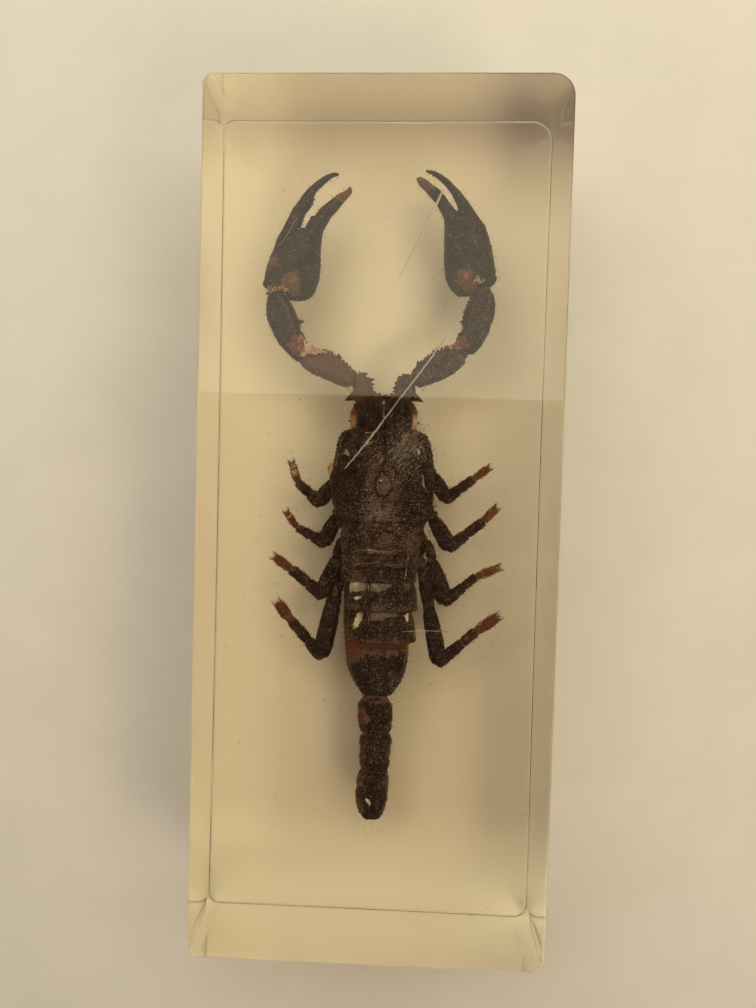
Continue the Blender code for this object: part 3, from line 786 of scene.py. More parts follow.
def belly_plate(index):
    """One plate of the underside. The first four have a pair of breathing slits."""
    front, rear = BELLY_PLATES[index]
    trunk = np.array(BODY)[::-1]
    rows = []
    for share in (0.0, 0.3, 0.6, 0.85, 1.0):
        y = front + (rear - front) * share
        left, right, low = (np.interp(y, trunk[:, 0], trunk[:, column]) for column in (1, 2, 3))
        rows.append((y, left + 0.35, right - 0.35, low + 1.3, low - 0.05 - 0.12 * share))
    skin = shield(rows, across=70, spacing=0.14, power=2.8, tone=BROWN + 0.05, down=True)
    across, along = skin.across, skin.along
    relief = 0.05 * hump(along, 0.96, 0.04) + 0.02 * swell(skin.points, 0.6, 80 + index)
    if index < 4:
        for side in (-1, 1):
            slit = np.exp(-((across - side * 0.55) / 0.11) ** 2
                          - ((along - 0.55 - 0.3 * side * (across - side * 0.55)) / 0.05) ** 2)
            relief -= 0.16 * slit
    else:
        for place in (-0.5, -0.2, 0.2, 0.5):
            relief += 0.10 * hump(across, place, 0.05) * np.clip((along - 0.2) * 4, 0, 1)
    skin.lift(relief * skin.face_up)
    skin.dye(hump(along, 1.0, 0.08) * 0.6, RED)
    return skin


def underside_parts():
    """Breastplate, genital lids and the two combs."""
    found = []
    breast = [(3.2, -0.2, 1.4, 8.0, 7.0), (2.4, -0.6, 1.8, 7.8, 6.5), (0.9, -0.8, 2.0, 7.8, 6.4),
              (0.1, -0.6, 1.8, 7.9, 6.6)]
    plate = shield(breast, across=50, spacing=0.12, power=2.6, tone=BROWN, down=True)
    relief = -0.2 * hump(plate.across, 0, 0.12) + 0.03 * swell(plate.points, 0.3, 90)
    plate.lift(relief * plate.face_up)
    found.append(plate)
    for side in (-1, 1):
        lid = [(MIDLINE + side * 0.05, -0.1, MIDLINE + side * 0.2, -1.5, 6.85, 0.5),
               (MIDLINE + side * 0.8, 0.0, MIDLINE + side * 0.8, -1.6, 6.85, 0.6),
               (MIDLINE + side * 1.6, -0.3, MIDLINE + side * 1.5, -1.3, 6.9, 0.4)]
        found.append(tube(lid, 24, 0.1, caps=(0.3, 0.4), tone=RED - 0.05))
        stem = []
        for share in np.linspace(0, 1, 6):
            x = MIDLINE + side * (0.4 + 3.9 * share)
            y = -1.9 - 1.3 * share ** 1.4
            width = 0.75 - 0.35 * share
            stem.append((x, y + width / 2, x, y - width / 2, 6.85 + 0.25 * share, 0.35))
        found.append(tube(stem, 20, 0.12, caps=(0.2, 0.3), tone=RUST))
        for tooth in np.linspace(0.06, 0.97, 17):
            x = MIDLINE + side * (0.4 + 3.9 * tooth)
            y = -2.15 - 1.3 * tooth ** 1.4
            long = 0.85 - 0.25 * tooth
            root, tip = (x, y, 6.85 + 0.25 * tooth), (x + side * 0.12, y - long, 6.95 + 0.25 * tooth)
            ribs = stretch(between(root, tip, (0, 0.4, 0.8, 1)), [0.2, 0.22, 0.24, 0.16], 0.8)
            found.append(tube(ribs, 10, 0.12, caps=(0.08, 0.1), tone=AMBER - 0.05))
    return found


# ---------------------------------------------------------------- mouth parts and arms

# Ribs of the left mouth part. The right one is its mirror image
MOUTH_PART = [
    (-2.3, 11.2, 0.42, 11.2, 11.6, 2.6), (-2.9, 12.8, 0.45, 12.9, 11.7, 3.1),
    (-2.95, 14.4, 0.48, 14.5, 11.7, 3.2), (-2.6, 15.7, 0.42, 15.9, 11.6, 2.8),
    (-1.9, 16.4, -0.1, 16.7, 11.5, 2.0),
]

LEFT_ARM = {
    "coxa": [(-3.2, 10.6, 0.0, 10.6, 9.2, 2.7), (-3.95, 13.3, -1.2, 13.3, 9.5, 2.7),
             (-3.8, 15.2, -1.5, 15.4, 9.7, 2.5), (-3.3, 16.3, -2.0, 16.4, 9.8, 2.0)],
    "trochanter": [(-3.6, 16.0, -1.5, 16.0, 10.0, 2.2), (-3.9, 17.0, -1.35, 17.1, 10.3, 2.5),
                   (-3.75, 18.0, -1.35, 18.3, 10.6, 2.5), (-3.6, 18.9, -2.0, 19.3, 10.7, 2.3),
                   (-3.3, 19.7, -2.7, 20.0, 10.8, 1.4)],
    "femur": [(-3.6, 18.2, -2.9, 19.9, 10.8, 1.5), (-4.6, 18.0, -4.0, 20.3, 10.9, 2.3),
              (-5.9, 18.3, -5.1, 21.2, 11.0, 2.7), (-7.5, 19.0, -6.4, 22.1, 11.1, 2.8),
              (-9.0, 19.6, -7.6, 22.6, 11.1, 2.7), (-10.1, 20.3, -8.9, 22.1, 11.2, 2.4),
              (-10.9, 21.1, -9.9, 22.3, 11.2, 1.8)],
    "patella": [(-10.3, 20.7, -9.4, 22.4, 11.1, 1.4), (-11.2, 21.2, -9.7, 23.0, 11.2, 1.9),
                (-12.3, 22.1, -10.2, 24.1, 11.3, 2.5),
                (-13.5, 23.4, -10.8, 25.0, 11.3, 3.0), (-14.4, 25.0, -11.0, 26.0, 11.3, 3.1),
                (-15.0, 26.4, -11.4, 27.0, 11.3, 3.1), (-15.2, 28.0, -12.0, 28.3, 11.2, 2.8),
                (-15.0, 29.4, -12.7, 29.4, 11.1, 2.2), (-14.7, 30.2, -13.2, 30.2, 11.0, 1.6)],
    "hand": [(-14.3, 29.7, -10.9, 28.6, 11.0, 2.4), (-15.5, 30.6, -9.6, 29.4, 11.0, 3.8),
             (-15.5, 31.8, -8.75, 31.0, 11.0, 4.3), (-15.2, 33.3, -8.4, 33.0, 11.05, 4.4),
             (-14.5, 35.2, -8.4, 35.3, 11.1, 4.1), (-13.8, 37.1, -8.2, 37.3, 11.1, 3.6),
             (-13.25, 38.2, -8.0, 38.2, 11.1, 3.1)],
    "inner": [(-10.9, 36.6, -8.35, 36.3, 11.1, 2.6), (-10.4, 38.3, -8.05, 37.9, 11.1, 2.5),
              (-10.0, 39.1, -7.6, 38.8, 11.1, 2.3), (-9.2, 39.9, -7.1, 39.7, 11.1, 2.1),
              (-8.5, 40.8, -6.3, 40.6, 11.1, 1.9), (-7.3, 41.8, -5.6, 41.5, 11.1, 1.6),
              (-6.2, 42.7, -5.0, 42.2, 11.1, 1.3), (-5.4, 43.1, -4.55, 42.8, 11.1, 0.9),
              (-4.9, 43.5, -4.5, 43.25, 11.1, 0.5), (-4.75, 43.7, -4.6, 43.6, 11.1, 0.25)],
    "outer": [(-13.9, 36.2, -11.1, 36.4, 11.1, 2.6), (-13.0, 38.8, -10.8, 38.9, 11.1, 2.4),
              (-12.0, 40.7, -10.35, 40.2, 11.1, 2.1), (-11.1, 42.05, -9.55, 41.2, 11.1, 1.8),
              (-9.9, 43.5, -9.2, 42.6, 11.1, 1.4), (-8.6, 44.6, -8.1, 43.85, 11.1, 1.1),
              (-7.4, 45.25, -7.2, 44.65, 11.1, 0.8), (-6.7, 45.4, -6.65, 44.95, 11.1, 0.55),
              (-6.15, 45.3, -6.2, 45.0, 11.1, 0.25)],
}
RIGHT_ARM = {
    "coxa": [(4.4, 10.6, 1.2, 10.6, 9.2, 2.7), (4.9, 13.3, 2.3, 13.3, 9.5, 2.7),
             (4.8, 15.2, 2.5, 15.4, 9.7, 2.5), (4.2, 16.4, 2.9, 16.5, 9.8, 2.0)],
    "trochanter": [(4.2, 16.1, 2.2, 16.1, 10.0, 2.2), (4.5, 17.2, 1.95, 17.3, 10.3, 2.5),
                   (4.4, 18.1, 1.95, 18.4, 10.6, 2.5), (4.2, 18.9, 2.5, 19.4, 10.7, 2.3),
                   (4.0, 19.7, 3.3, 20.0, 10.8, 1.4)],
    "femur": [(4.2, 18.3, 3.6, 20.1, 10.8, 1.5), (5.2, 18.2, 4.6, 20.9, 10.9, 2.3),
              (6.5, 18.7, 5.6, 21.8, 11.0, 2.7), (8.0, 19.3, 6.7, 22.6, 11.1, 2.8),
              (9.3, 20.1, 7.7, 23.0, 11.1, 2.7), (10.3, 20.9, 8.7, 23.3, 11.2, 2.4),
              (11.1, 21.8, 9.7, 23.2, 11.2, 1.8)],
    "patella": [(11.3, 22.2, 9.3, 23.9, 11.2, 1.7), (12.4, 23.2, 9.9, 24.9, 11.3, 2.5),
                (13.3, 24.6, 10.5, 25.8, 11.3, 3.0), (14.0, 26.3, 10.4, 26.8, 11.3, 3.1),
                (14.4, 28.0, 10.7, 28.2, 11.3, 3.1), (14.4, 29.6, 11.3, 29.8, 11.2, 2.8),
                (13.9, 30.8, 11.9, 31.1, 11.1, 2.2), (13.5, 31.5, 12.2, 31.7, 11.0, 1.6)],
    "hand": [(13.4, 30.9, 10.3, 29.7, 11.0, 2.4), (14.4, 31.9, 9.1, 30.5, 11.0, 3.8),
             (14.4, 33.1, 8.2, 32.0, 11.0, 4.3), (14.1, 34.7, 7.85, 34.2, 11.05, 4.4),
             (13.6, 36.8, 7.7, 36.6, 11.1, 4.1), (13.0, 38.6, 7.7, 38.6, 11.1, 3.6),
             (12.2, 40.1, 7.5, 40.1, 11.1, 3.0)],
    "inner": [(10.3, 38.2, 7.7, 38.2, 11.1, 2.6), (9.6, 40.2, 7.45, 40.0, 11.1, 2.4),
              (8.75, 41.3, 6.9, 41.1, 11.1, 2.1), (7.85, 42.4, 6.2, 42.1, 11.1, 1.8),
              (6.95, 43.45, 5.4, 42.95, 11.1, 1.5), (5.75, 44.3, 4.7, 43.6, 11.1, 1.2),
              (4.8, 44.95, 4.1, 44.25, 11.1, 0.8), (4.0, 45.15, 3.75, 44.85, 11.1, 0.35)],
    "outer": [(13.4, 37.2, 10.6, 37.4, 11.1, 2.6), (12.5, 39.4, 9.6, 39.9, 11.1, 2.4),
              (11.3, 41.2, 9.3, 41.2, 11.1, 2.0), (10.1, 42.7, 8.8, 42.4, 11.1, 1.7),
              (8.9, 44.0, 8.0, 43.6, 11.1, 1.4), (7.6, 45.1, 7.0, 44.6, 11.1, 1.1),
              (6.3, 45.9, 6.0, 45.3, 11.1, 0.8), (5.0, 46.1, 5.0, 45.75, 11.1, 0.4)],
}


# Coloured spots on the arms, by side: part, x, y, radius and tone
ARM_SPOTS = {
    -1: [("hand", -12.0, 31.3, 1.3, RED - 0.04), ("hand", -11.7, 31.3, 0.6, RUST + 0.04),
         ("hand", -11.6, 29.9, 0.8, RED - 0.05), ("hand", -14.6, 33.6, 1.2, DUN - 0.02),
         ("inner", -5.6, 42.7, 1.2, RED + 0.05), ("patella", -11.0, 23.0, 1.1, RUST + 0.08)],
    1: [("hand", 10.4, 32.2, 1.2, RED - 0.02), ("hand", 10.5, 32.4, 0.5, RUST + 0.08),
        ("hand", 11.0, 30.8, 0.8, RED - 0.05), ("patella", 10.1, 24.0, 0.9, RUST + 0.08),
        ("inner", 5.2, 44.3, 1.4, RED - 0.02)],
}
FEMUR_ENDS = {-1: -10.2, 1: 10.6}
# Crumpled skin at the elbows and wrists: outline, level, tone, salt and relief
ARM_SCRAPS = {
    -1: [([(-11.3, 24.3), (-10.7, 24.5), (-9.9, 23.9), (-9.6, 23.2), (-9.9, 22.3), (-10.5, 21.7),
           (-11.3, 22.5), (-11.7, 23.3)], 12.6, RED + 0.04, 150, 0.12),
         ([(-10.9, 21.5), (-10.5, 22.2), (-10.0, 22.3), (-10.1, 23.2), (-10.3, 24.0), (-9.7, 23.5),
           (-8.7, 22.9), (-7.1, 22.4), (-7.0, 22.0), (-8.4, 21.9), (-9.4, 21.9), (-10.1, 21.6)],
          12.9, PALE - 0.02, 155, 0.14),
         ([(-15.1, 30.3), (-14.7, 30.65), (-13.3, 30.65), (-12.3, 30.35), (-12.4, 29.7),
           (-13.5, 29.7), (-14.6, 29.8)], 13.2, DUN + 0.02, 160, 0.3)],
    1: [([(10.9, 25.3), (10.7, 23.9), (10.3, 23.0), (9.6, 22.9), (8.7, 22.9), (9.4, 24.0)],
         12.6, RED + 0.08, 170, 0.22),
        ([(9.4, 23.2), (9.3, 24.0), (8.4, 23.4), (8.4, 22.9)], 12.5, PALE - 0.08, 175, 0.15),
        ([(11.2, 32.1), (11.9, 32.5), (12.6, 32.0), (12.9, 31.4), (12.2, 31.2), (11.4, 31.4)],
         13.3, DUN + 0.04, 180, 0.3)],
}
# Torn skin on top of the wrists: path in plan, number of grains and salt
WRIST_TOP = 13.75
ARM_BEADS = {
    -1: [([(-14.8, 30.0), (-14.3, 29.85), (-13.7, 30.1), (-13.1, 30.3), (-12.6, 30.1), (-12.5, 29.6)],
          60, 165)],
    1: [([(11.2, 31.4), (11.8, 31.9), (12.2, 31.6), (12.8, 31.9)], 40, 185),
        ([(11.9, 32.4), (12.0, 31.9), (12.3, 31.4)], 18, 187)],
}
# Spurs: base, tip and width
ARM_SPURS = {
    -1: [((-3.2, 17.0, 10.1), (-4.75, 16.25, 10.1), 1.4),
         ((-11.3, 26.1, 11.3), (-10.2, 26.3, 11.3), 1.0),
         ((-14.8, 29.9, 11.0), (-15.4, 29.7, 11.0), 0.7)],
    1: [((3.9, 17.1, 10.1), (5.55, 16.35, 10.1), 1.4), ((11.2, 26.5, 11.3), (10.0, 26.85, 11.3), 1.0)],
}
# Round lobes on the fingers and at the right elbow: centre, radii and tone
ARM_LOBES = {
    -1: [((-10.35, 40.85, 11.1), (0.45, 0.55, 0.7), BLACK),
         ((-9.35, 39.45, 11.1), (0.5, 0.4, 0.8), BLACK)],
    1: [((9.5, 40.7, 11.1), (0.5, 0.4, 0.8), BLACK), ((10.3, 22.7, 11.0), (0.9, 0.9, 1.0), BROWN)],
}
# Rows of teeth: part, where its ribs start and stop, edge (0 outer, 2 inner), spacing and sizes
TEETH_ROWS = (
    ("inner", 0, None, 0, 0.42, (0.08, 0.16)), ("outer", 1, None, 2, 0.42, (0.08, 0.16)),
    ("trochanter", 1, None, 2, 0.5, (0.25, 0.7)), ("femur", 1, None, 2, 0.5, (0.22, 0.65)),
    ("femur", 1, None, 0, 0.9, (0.08, 0.18)), ("patella", 1, -1, 2, 0.7, (0.18, 0.36)),
    ("hand", 1, None, 2, 0.55, (0.05, 0.14)), ("hand", 1, None, 0, 0.6, (0.04, 0.1)),
)
# Hairs: part, how many and their length
ARM_HAIRS = (("hand", 160, 0.7), ("inner", 90, 0.6), ("outer", 90, 0.6), ("patella", 110, 0.6),
             ("femur", 120, 0.6), ("trochanter", 80, 0.6), ("coxa", 120, 0.6))


def keel(skin, degrees, height, width, bead=0.0, start=0.08, end=0.92):
    """A ridge along a limb at an angle round it, broken into beads of a length if one is given."""
    away = (np.degrees(skin.angle) - degrees + 180) % 360 - 180
    share = skin.along / skin.length
    body = np.clip((share - start) * 12, 0, 1) * np.clip((end - share) * 12, 0, 1)
    if bead:
        body = body * (0.35 + 0.65 * np.abs(np.sin(math.pi * skin.along / bead)) ** 1.5)
    return height * hump(away, 0, width) * body


def collar(skin, height=0.10, place=0.35):
    """A raised ring just before a limb's far end."""
    return height * hump(skin.length - skin.along, place, 0.16)


def arm_part(ribs, name, salt):
    """One segment of an arm with its ridges and grain."""
    fine = name in ("inner", "outer")
    skin = tube(ribs, around=56 if fine else 84, spacing=0.11, power=2.3,
                caps=(0.5, 0.35) if fine else (0.7, 0.55), tone=BLACK + 0.03)
    relief = 0.05 * swell(skin.points, 0.8, salt) + 0.02 * swell(skin.points, 0.25, salt + 1)
    if name in ("trochanter", "femur", "patella"):
        for degrees in (62, 118, 242, 298):
            relief += keel(skin, degrees, 0.13, 9.0, 0.42)
        relief += keel(skin, 180, 0.17, 12.0, 0.55) + keel(skin, 0, 0.06, 10.0, 0.4)
        relief += 0.085 * grains(skin.points, 0.36, 0.55, salt + 2) + collar(skin)
    elif name == "hand":
        for degrees in (38, 75, 112, 148):
            relief += keel(skin, degrees, 0.10, 7.0, 0.5, 0.12, 0.95)
        relief += keel(skin, 0, 0.06, 8.0, 0.5) + keel(skin, 180, 0.09, 10.0, 0.5)
        relief += 0.10 * grains(skin.points, 0.45, 0.6, salt + 2)
    elif fine:
        relief += 0.12 * keel(skin, 90, 1.0, 12.0) + 0.03 * grains(skin.points, 0.3, 0.5, salt + 3)
    else:
        relief += 0.06 * grains(skin.points, 0.4, 0.55, salt + 2)
    return skin.lift(relief, 0.9)


def arm_teeth(ribs, side, spacing, sizes, rng):
    """Pointed teeth along one edge of an arm segment: side 0 is outer, side 2 is inner."""
    rows = np.array(ribs)
    edge, centre, height = rows[:, side:side + 2], (rows[:, 0:2] + rows[:, 2:4]) / 2, rows[1, 4]
    knots = np.concatenate([[0], np.cumsum(np.linalg.norm(np.diff(edge, axis=0), axis=1))])
    at = np.arange(spacing * 0.6, knots[-1] - spacing * 0.4, spacing)
    at = at + rng.normal(0, spacing * 0.2, len(at))
    found = []
    for point, inside in zip(smooth(knots, edge, at), smooth(knots, centre, at)):
        out = (point - inside) / np.linalg.norm(point - inside)
        size = sizes[0] + (sizes[1] - sizes[0]) * rng.random()
        out = out + [rng.normal(0, 0.2), rng.normal(0, 0.2)]
        level = height + rng.normal(0, 0.1)
        base, tip = (*(point - out * 0.25), level), (*(point + out * size), level)
        found.append(thorn(base, tip, size + 0.2, BROWN, sides=8))
    return found


def beads(path, count, salt):
    """Pale grains of torn skin along a path in plan."""
    own = np.random.default_rng(salt)
    path = np.array(path)
    spots = smooth(np.arange(len(path)), path, own.random(count) * (len(path) - 1))
    spots = spots + own.normal(0, 0.14, (count, 2))
    found = []
    for spot in spots:
        place = (*spot, WRIST_TOP + own.normal(0, 0.04))
        size = (0.05 + 0.07 * own.random(), 0.05 + 0.05 * own.random(), 0.1)
        found.append(ball(place, size, PALE + 0.1 - 0.3 * own.random(), 8))
    return found


def arm(side, ribs, rng):
    """One arm: skins of its segments, teeth, spurs, joint skins and hairs."""
    salt = 100 if side < 0 else 200
    parts = {name: arm_part(rows, name, salt + 10 * index)
             for index, (name, rows) in enumerate(ribs.items())}
    for name, *spot in ARM_SPOTS[side]:
        parts[name].spot(*spot)
    femur, coxa = parts["femur"], parts["coxa"]
    femur.dye(hump(femur.points[:, 0], FEMUR_ENDS[side], 0.6) * 0.5, RUST)
    if side < 0:
        femur.dye(0.65, RED + 0.02)
        parts["trochanter"].dye(0.65, RED)
    skins = [rag(*row) for row in ARM_SCRAPS[side]]
    for row in ARM_BEADS[side]:
        skins += beads(*row)
    spurs = [thorn(*row, BROWN) for row in ARM_SPURS[side]]
    lobes = [ball(*row) for row in ARM_LOBES[side]]
    for name, amount in (("trochanter", 0.75), ("femur", 0.65), ("patella", 0.35)):
        parts[name].dye(amount * (0.7 + 0.3 * swell(parts[name].points, 1.2, salt + 95)), 0.34)
    paler = AMBER + 0.14 if side < 0 else PALE + 0.1
    coxa.dye(np.clip((coxa.points[:, 0] * side - 2.9) / 0.4, 0, 1)
             * hump(coxa.points[:, 1], 13.5, 1.5), paler)
    teeth = []
    for name, first, last, edge, spacing, sizes in TEETH_ROWS:
        teeth += arm_teeth(ribs[name][first:last], edge, spacing, sizes, rng)
    fuzz = [hair(parts[name], count, rng, long, along=(0, 0.3, 0)) for name, count, long in ARM_HAIRS]
    return list(parts.values()) + teeth + skins + spurs + lobes, fuzz


def mouth_parts(rng):
    """The pair of mouth parts with their small fingers and bristly fronts."""
    found, fuzz = [], []
    for side in (-1, 1):
        ribs = [(MIDLINE + side * abs(row[0] - MIDLINE), row[1], MIDLINE + side * abs(row[2] - MIDLINE),
                 row[3], row[4], row[5]) for row in MOUTH_PART]
        skin = tube(ribs, 70, 0.1, power=2.4, caps=(0.6, 0.5), tone=BLACK + 0.05)
        skin.lift(0.05 * swell(skin.points, 0.6, 300 + side) + 0.06 * grains(skin.points, 0.3, 0.5, 303)
                  - keel(skin, 120, 0.08, 8.0))
        skin.dye(np.clip((skin.points[:, 1] - 15.2) / 1.2, 0, 1) * 0.6, BROWN + 0.06)
        inner_side = hump(np.abs(skin.points[:, 0] - MIDLINE), 0.2, 0.35)
        skin.dye(inner_side * 0.6, RED)
        found.append(skin)
        outer = [(MIDLINE + side * 2.7, 15.2, 11.3), (MIDLINE + side * 2.5, 16.5, 11.2),
                 (MIDLINE + side * 1.7, 17.1, 11.1), (MIDLINE + side * 1.1, 17.2, 11.0)]
        inner = [(MIDLINE + side * 1.1, 15.6, 11.8), (MIDLINE + side * 0.9, 16.6, 11.7),
                 (MIDLINE + side * 0.75, 17.3, 11.5)]
        for path, widths in ((outer, [1.3, 1.1, 0.7, 0.2]), (inner, [1.1, 0.75, 0.25])):
            found.append(tube(stretch(path, widths, 0.9), 24, 0.1, caps=(0.3, 0.1), tone=BROWN + 0.05))
        for step in range(4):
            x = MIDLINE + side * (2.2 - 0.33 * step)
            base, tip = (x, 16.6 + 0.08 * step, 11.15), (x - side * 0.1, 17.0 + 0.06 * step, 11.1)
            found.append(thorn(base, tip, 0.24, RED, sides=8))
        for step in range(9):
            root = np.array([MIDLINE + side * (0.35 + 0.26 * step), 16.5 - 0.012 * step ** 2, 11.3])
            reach = np.array([rng.normal(0, 0.25), 0.35 + 0.5 * rng.random(), rng.normal(0, 0.2)])
            found.append(thorn(root, root + reach, 0.26, BROWN - 0.05, sides=6))
        front = np.clip((skin.points[:, 1] - 14.6) / 1.5, 0, 1)
        fuzz.append(hair(skin, 420, rng, 0.75, 0.026, along=(0, 1.0, 0), weight=front + 0.02,
                         tone=BROWN + 0.08))
    found.append(ball((MIDLINE, 14.6, 10.6), (0.9, 2.6, 1.0), BLACK + 0.05))
    found.append(rag(ribbon([(0.35, 16.4), (0.4, 15.4), (0.42, 13.9)], 0.3), 12.4, WHITE, 320, 0.1))
    return found, fuzz


# ---------------------------------------------------------------- legs

LEGS = {
    "left": [
        [(-2.3, 7.2, 8.4), (-4.9, 6.4, 8.9), (-6.0, 5.4, 9.3), (-7.8, 2.8, 11.0),
         (-10.75, 5.3, 9.8), (-11.6, 7.8, 8.9)],
        [(-2.3, 3.6, 8.2), (-4.6, 2.1, 8.8), (-5.5, 0.8, 9.2), (-7.0, -2.5, 11.0),
         (-10.7, -0.7, 9.7), (-12.1, 1.2, 8.8)],
        [(-2.3, 0.6, 8.2), (-4.4, -2.4, 8.8), (-5.2, -4.6, 9.2), (-7.1, -9.4, 11.0),
         (-11.4, -6.2, 9.7), (-13.6, -4.8, 8.8)],
        [(-2.3, -1.6, 8.2), (-4.4, -5.4, 8.9), (-5.3, -9.0, 9.4), (-7.0, -17.5, 11.0),
         (-11.3, -13.0, 9.7), (-13.1, -10.9, 8.8)],
    ],
    "right": [
        [(3.6, 7.4, 8.4), (6.1, 7.2, 8.9), (7.3, 6.6, 9.3), (8.9, 3.7, 11.0),
         (12.6, 6.4, 9.8), (14.5, 7.8, 8.9)],
        [(3.6, 3.6, 8.2), (6.3, 2.4, 8.8), (7.4, 0.9, 9.2), (9.5, -2.7, 11.0),
         (14.0, 0.8, 9.7), (15.7, 2.5, 8.8)],
        [(3.6, 0.6, 8.2), (6.3, -2.4, 8.8), (7.3, -4.8, 9.2), (9.2, -9.9, 11.0),
         (13.2, -6.6, 9.7), (16.3, -5.4, 8.8)],
        [(3.4, -1.6, 8.2), (6.3, -5.0, 8.9), (7.1, -10.9, 9.4), (8.6, -18.0, 11.0),
         (13.5, -13.9, 9.7), (16.4, -12.0, 8.8)],
    ],
}
# For each leg, front pair first: widths of the thigh, of the shin at the knee and ankle, and of the
# foot, and the share of the shin that its first segment takes
LEG_SIZES = {
    "left": ((1.9, 1.55, 0.95, 0.85, 0.42), (1.95, 1.5, 0.85, 0.72, 0.42), (2.1, 1.6, 1.15, 1.15, 0.42),
             (2.3, 1.6, 1.1, 1.4, 0.42)),
    "right": ((1.75, 1.5, 0.95, 0.85, 0.45), (2.05, 1.5, 1.05, 1.0, 0.5), (2.2, 1.4, 0.9, 1.0, 0.6),
              (2.15, 1.5, 1.1, 1.4, 0.62)),
}
LEG_LEVEL_STEP = 0.1
# Hairs: which segment, how many and their length
LEG_HAIRS = ((2, 60, 0.4), (3, 70, 0.45), (4, 90, 0.45), (5, 60, 0.4), (6, 120, 0.45))


def leg_part(path, widths, salt, tone, ridged=True, around=44, caps=(0.2, 0.16)):
    """One segment of a leg."""
    skin = tube(stretch(path, widths, 0.82), around, 0.12, power=2.3, caps=caps, tone=tone)
    relief = 0.05 * swell(skin.points, 0.4, salt) + 0.085 * grains(skin.points, 0.3, 0.55, salt + 1)
    if ridged:
        for degrees in (60, 120, 180, 0):
            relief += keel(skin, degrees, 0.09, 11.0, 0.34)
        relief += collar(skin, 0.05, 0.2)
    else:
        relief += 0.06 * swell(skin.points, 0.22, salt + 2)
    return skin.lift(relief, 1.0)


def foot_spines(start, end, width, rng, tone):
    """Stout bristles that point forward from both sides of a foot, and its two hooked claws."""
    forward = (end - start) / np.linalg.norm(end - start)
    square = np.array([-forward[1], forward[0], 0.0])
    found = []
    for way in (-1, 1):
        for share in np.linspace(0.1, 1.02, 10):
            near = 0.26 + 0.16 * math.sin(math.pi * min(share, 0.9))
            root = start + (end - start) * (share - 0.05) + square * way * width * near
            root = root + [0, 0, rng.normal(0, 0.12)]
            reach = forward * 0.9 + square * way * (0.75 - 0.45 * share) * (0.6 + 0.6 * rng.random())
            size = 0.34 + 0.3 * rng.random() + 0.15 * share
            found.append(thorn(root, root + reach * size, 0.24, tone + 0.08 * rng.normal(), sides=6))
        base = end - forward * 0.3 + square * way * width * 0.2
        reach = forward * 0.6 + square * way * 0.32
        bent = [base, base + reach * 0.5 + [0, 0, 0.1], base + reach + forward * 0.1,
                base + reach + forward * 0.5 - square * way * 0.12 + [0, 0, -0.2]]
        found.append(tube(stretch(bent, [0.26, 0.2, 0.13, 0.04], 0.9), 12, 0.07, caps=(0.08, 0.03),
                          tone=tone - 0.06))
        tuft = end - forward * 0.1 + square * way * width * 0.05
        found.append(thorn(tuft, tuft + forward * 0.75 + square * way * 0.2, 0.2, tone - 0.08, sides=6))
    return found


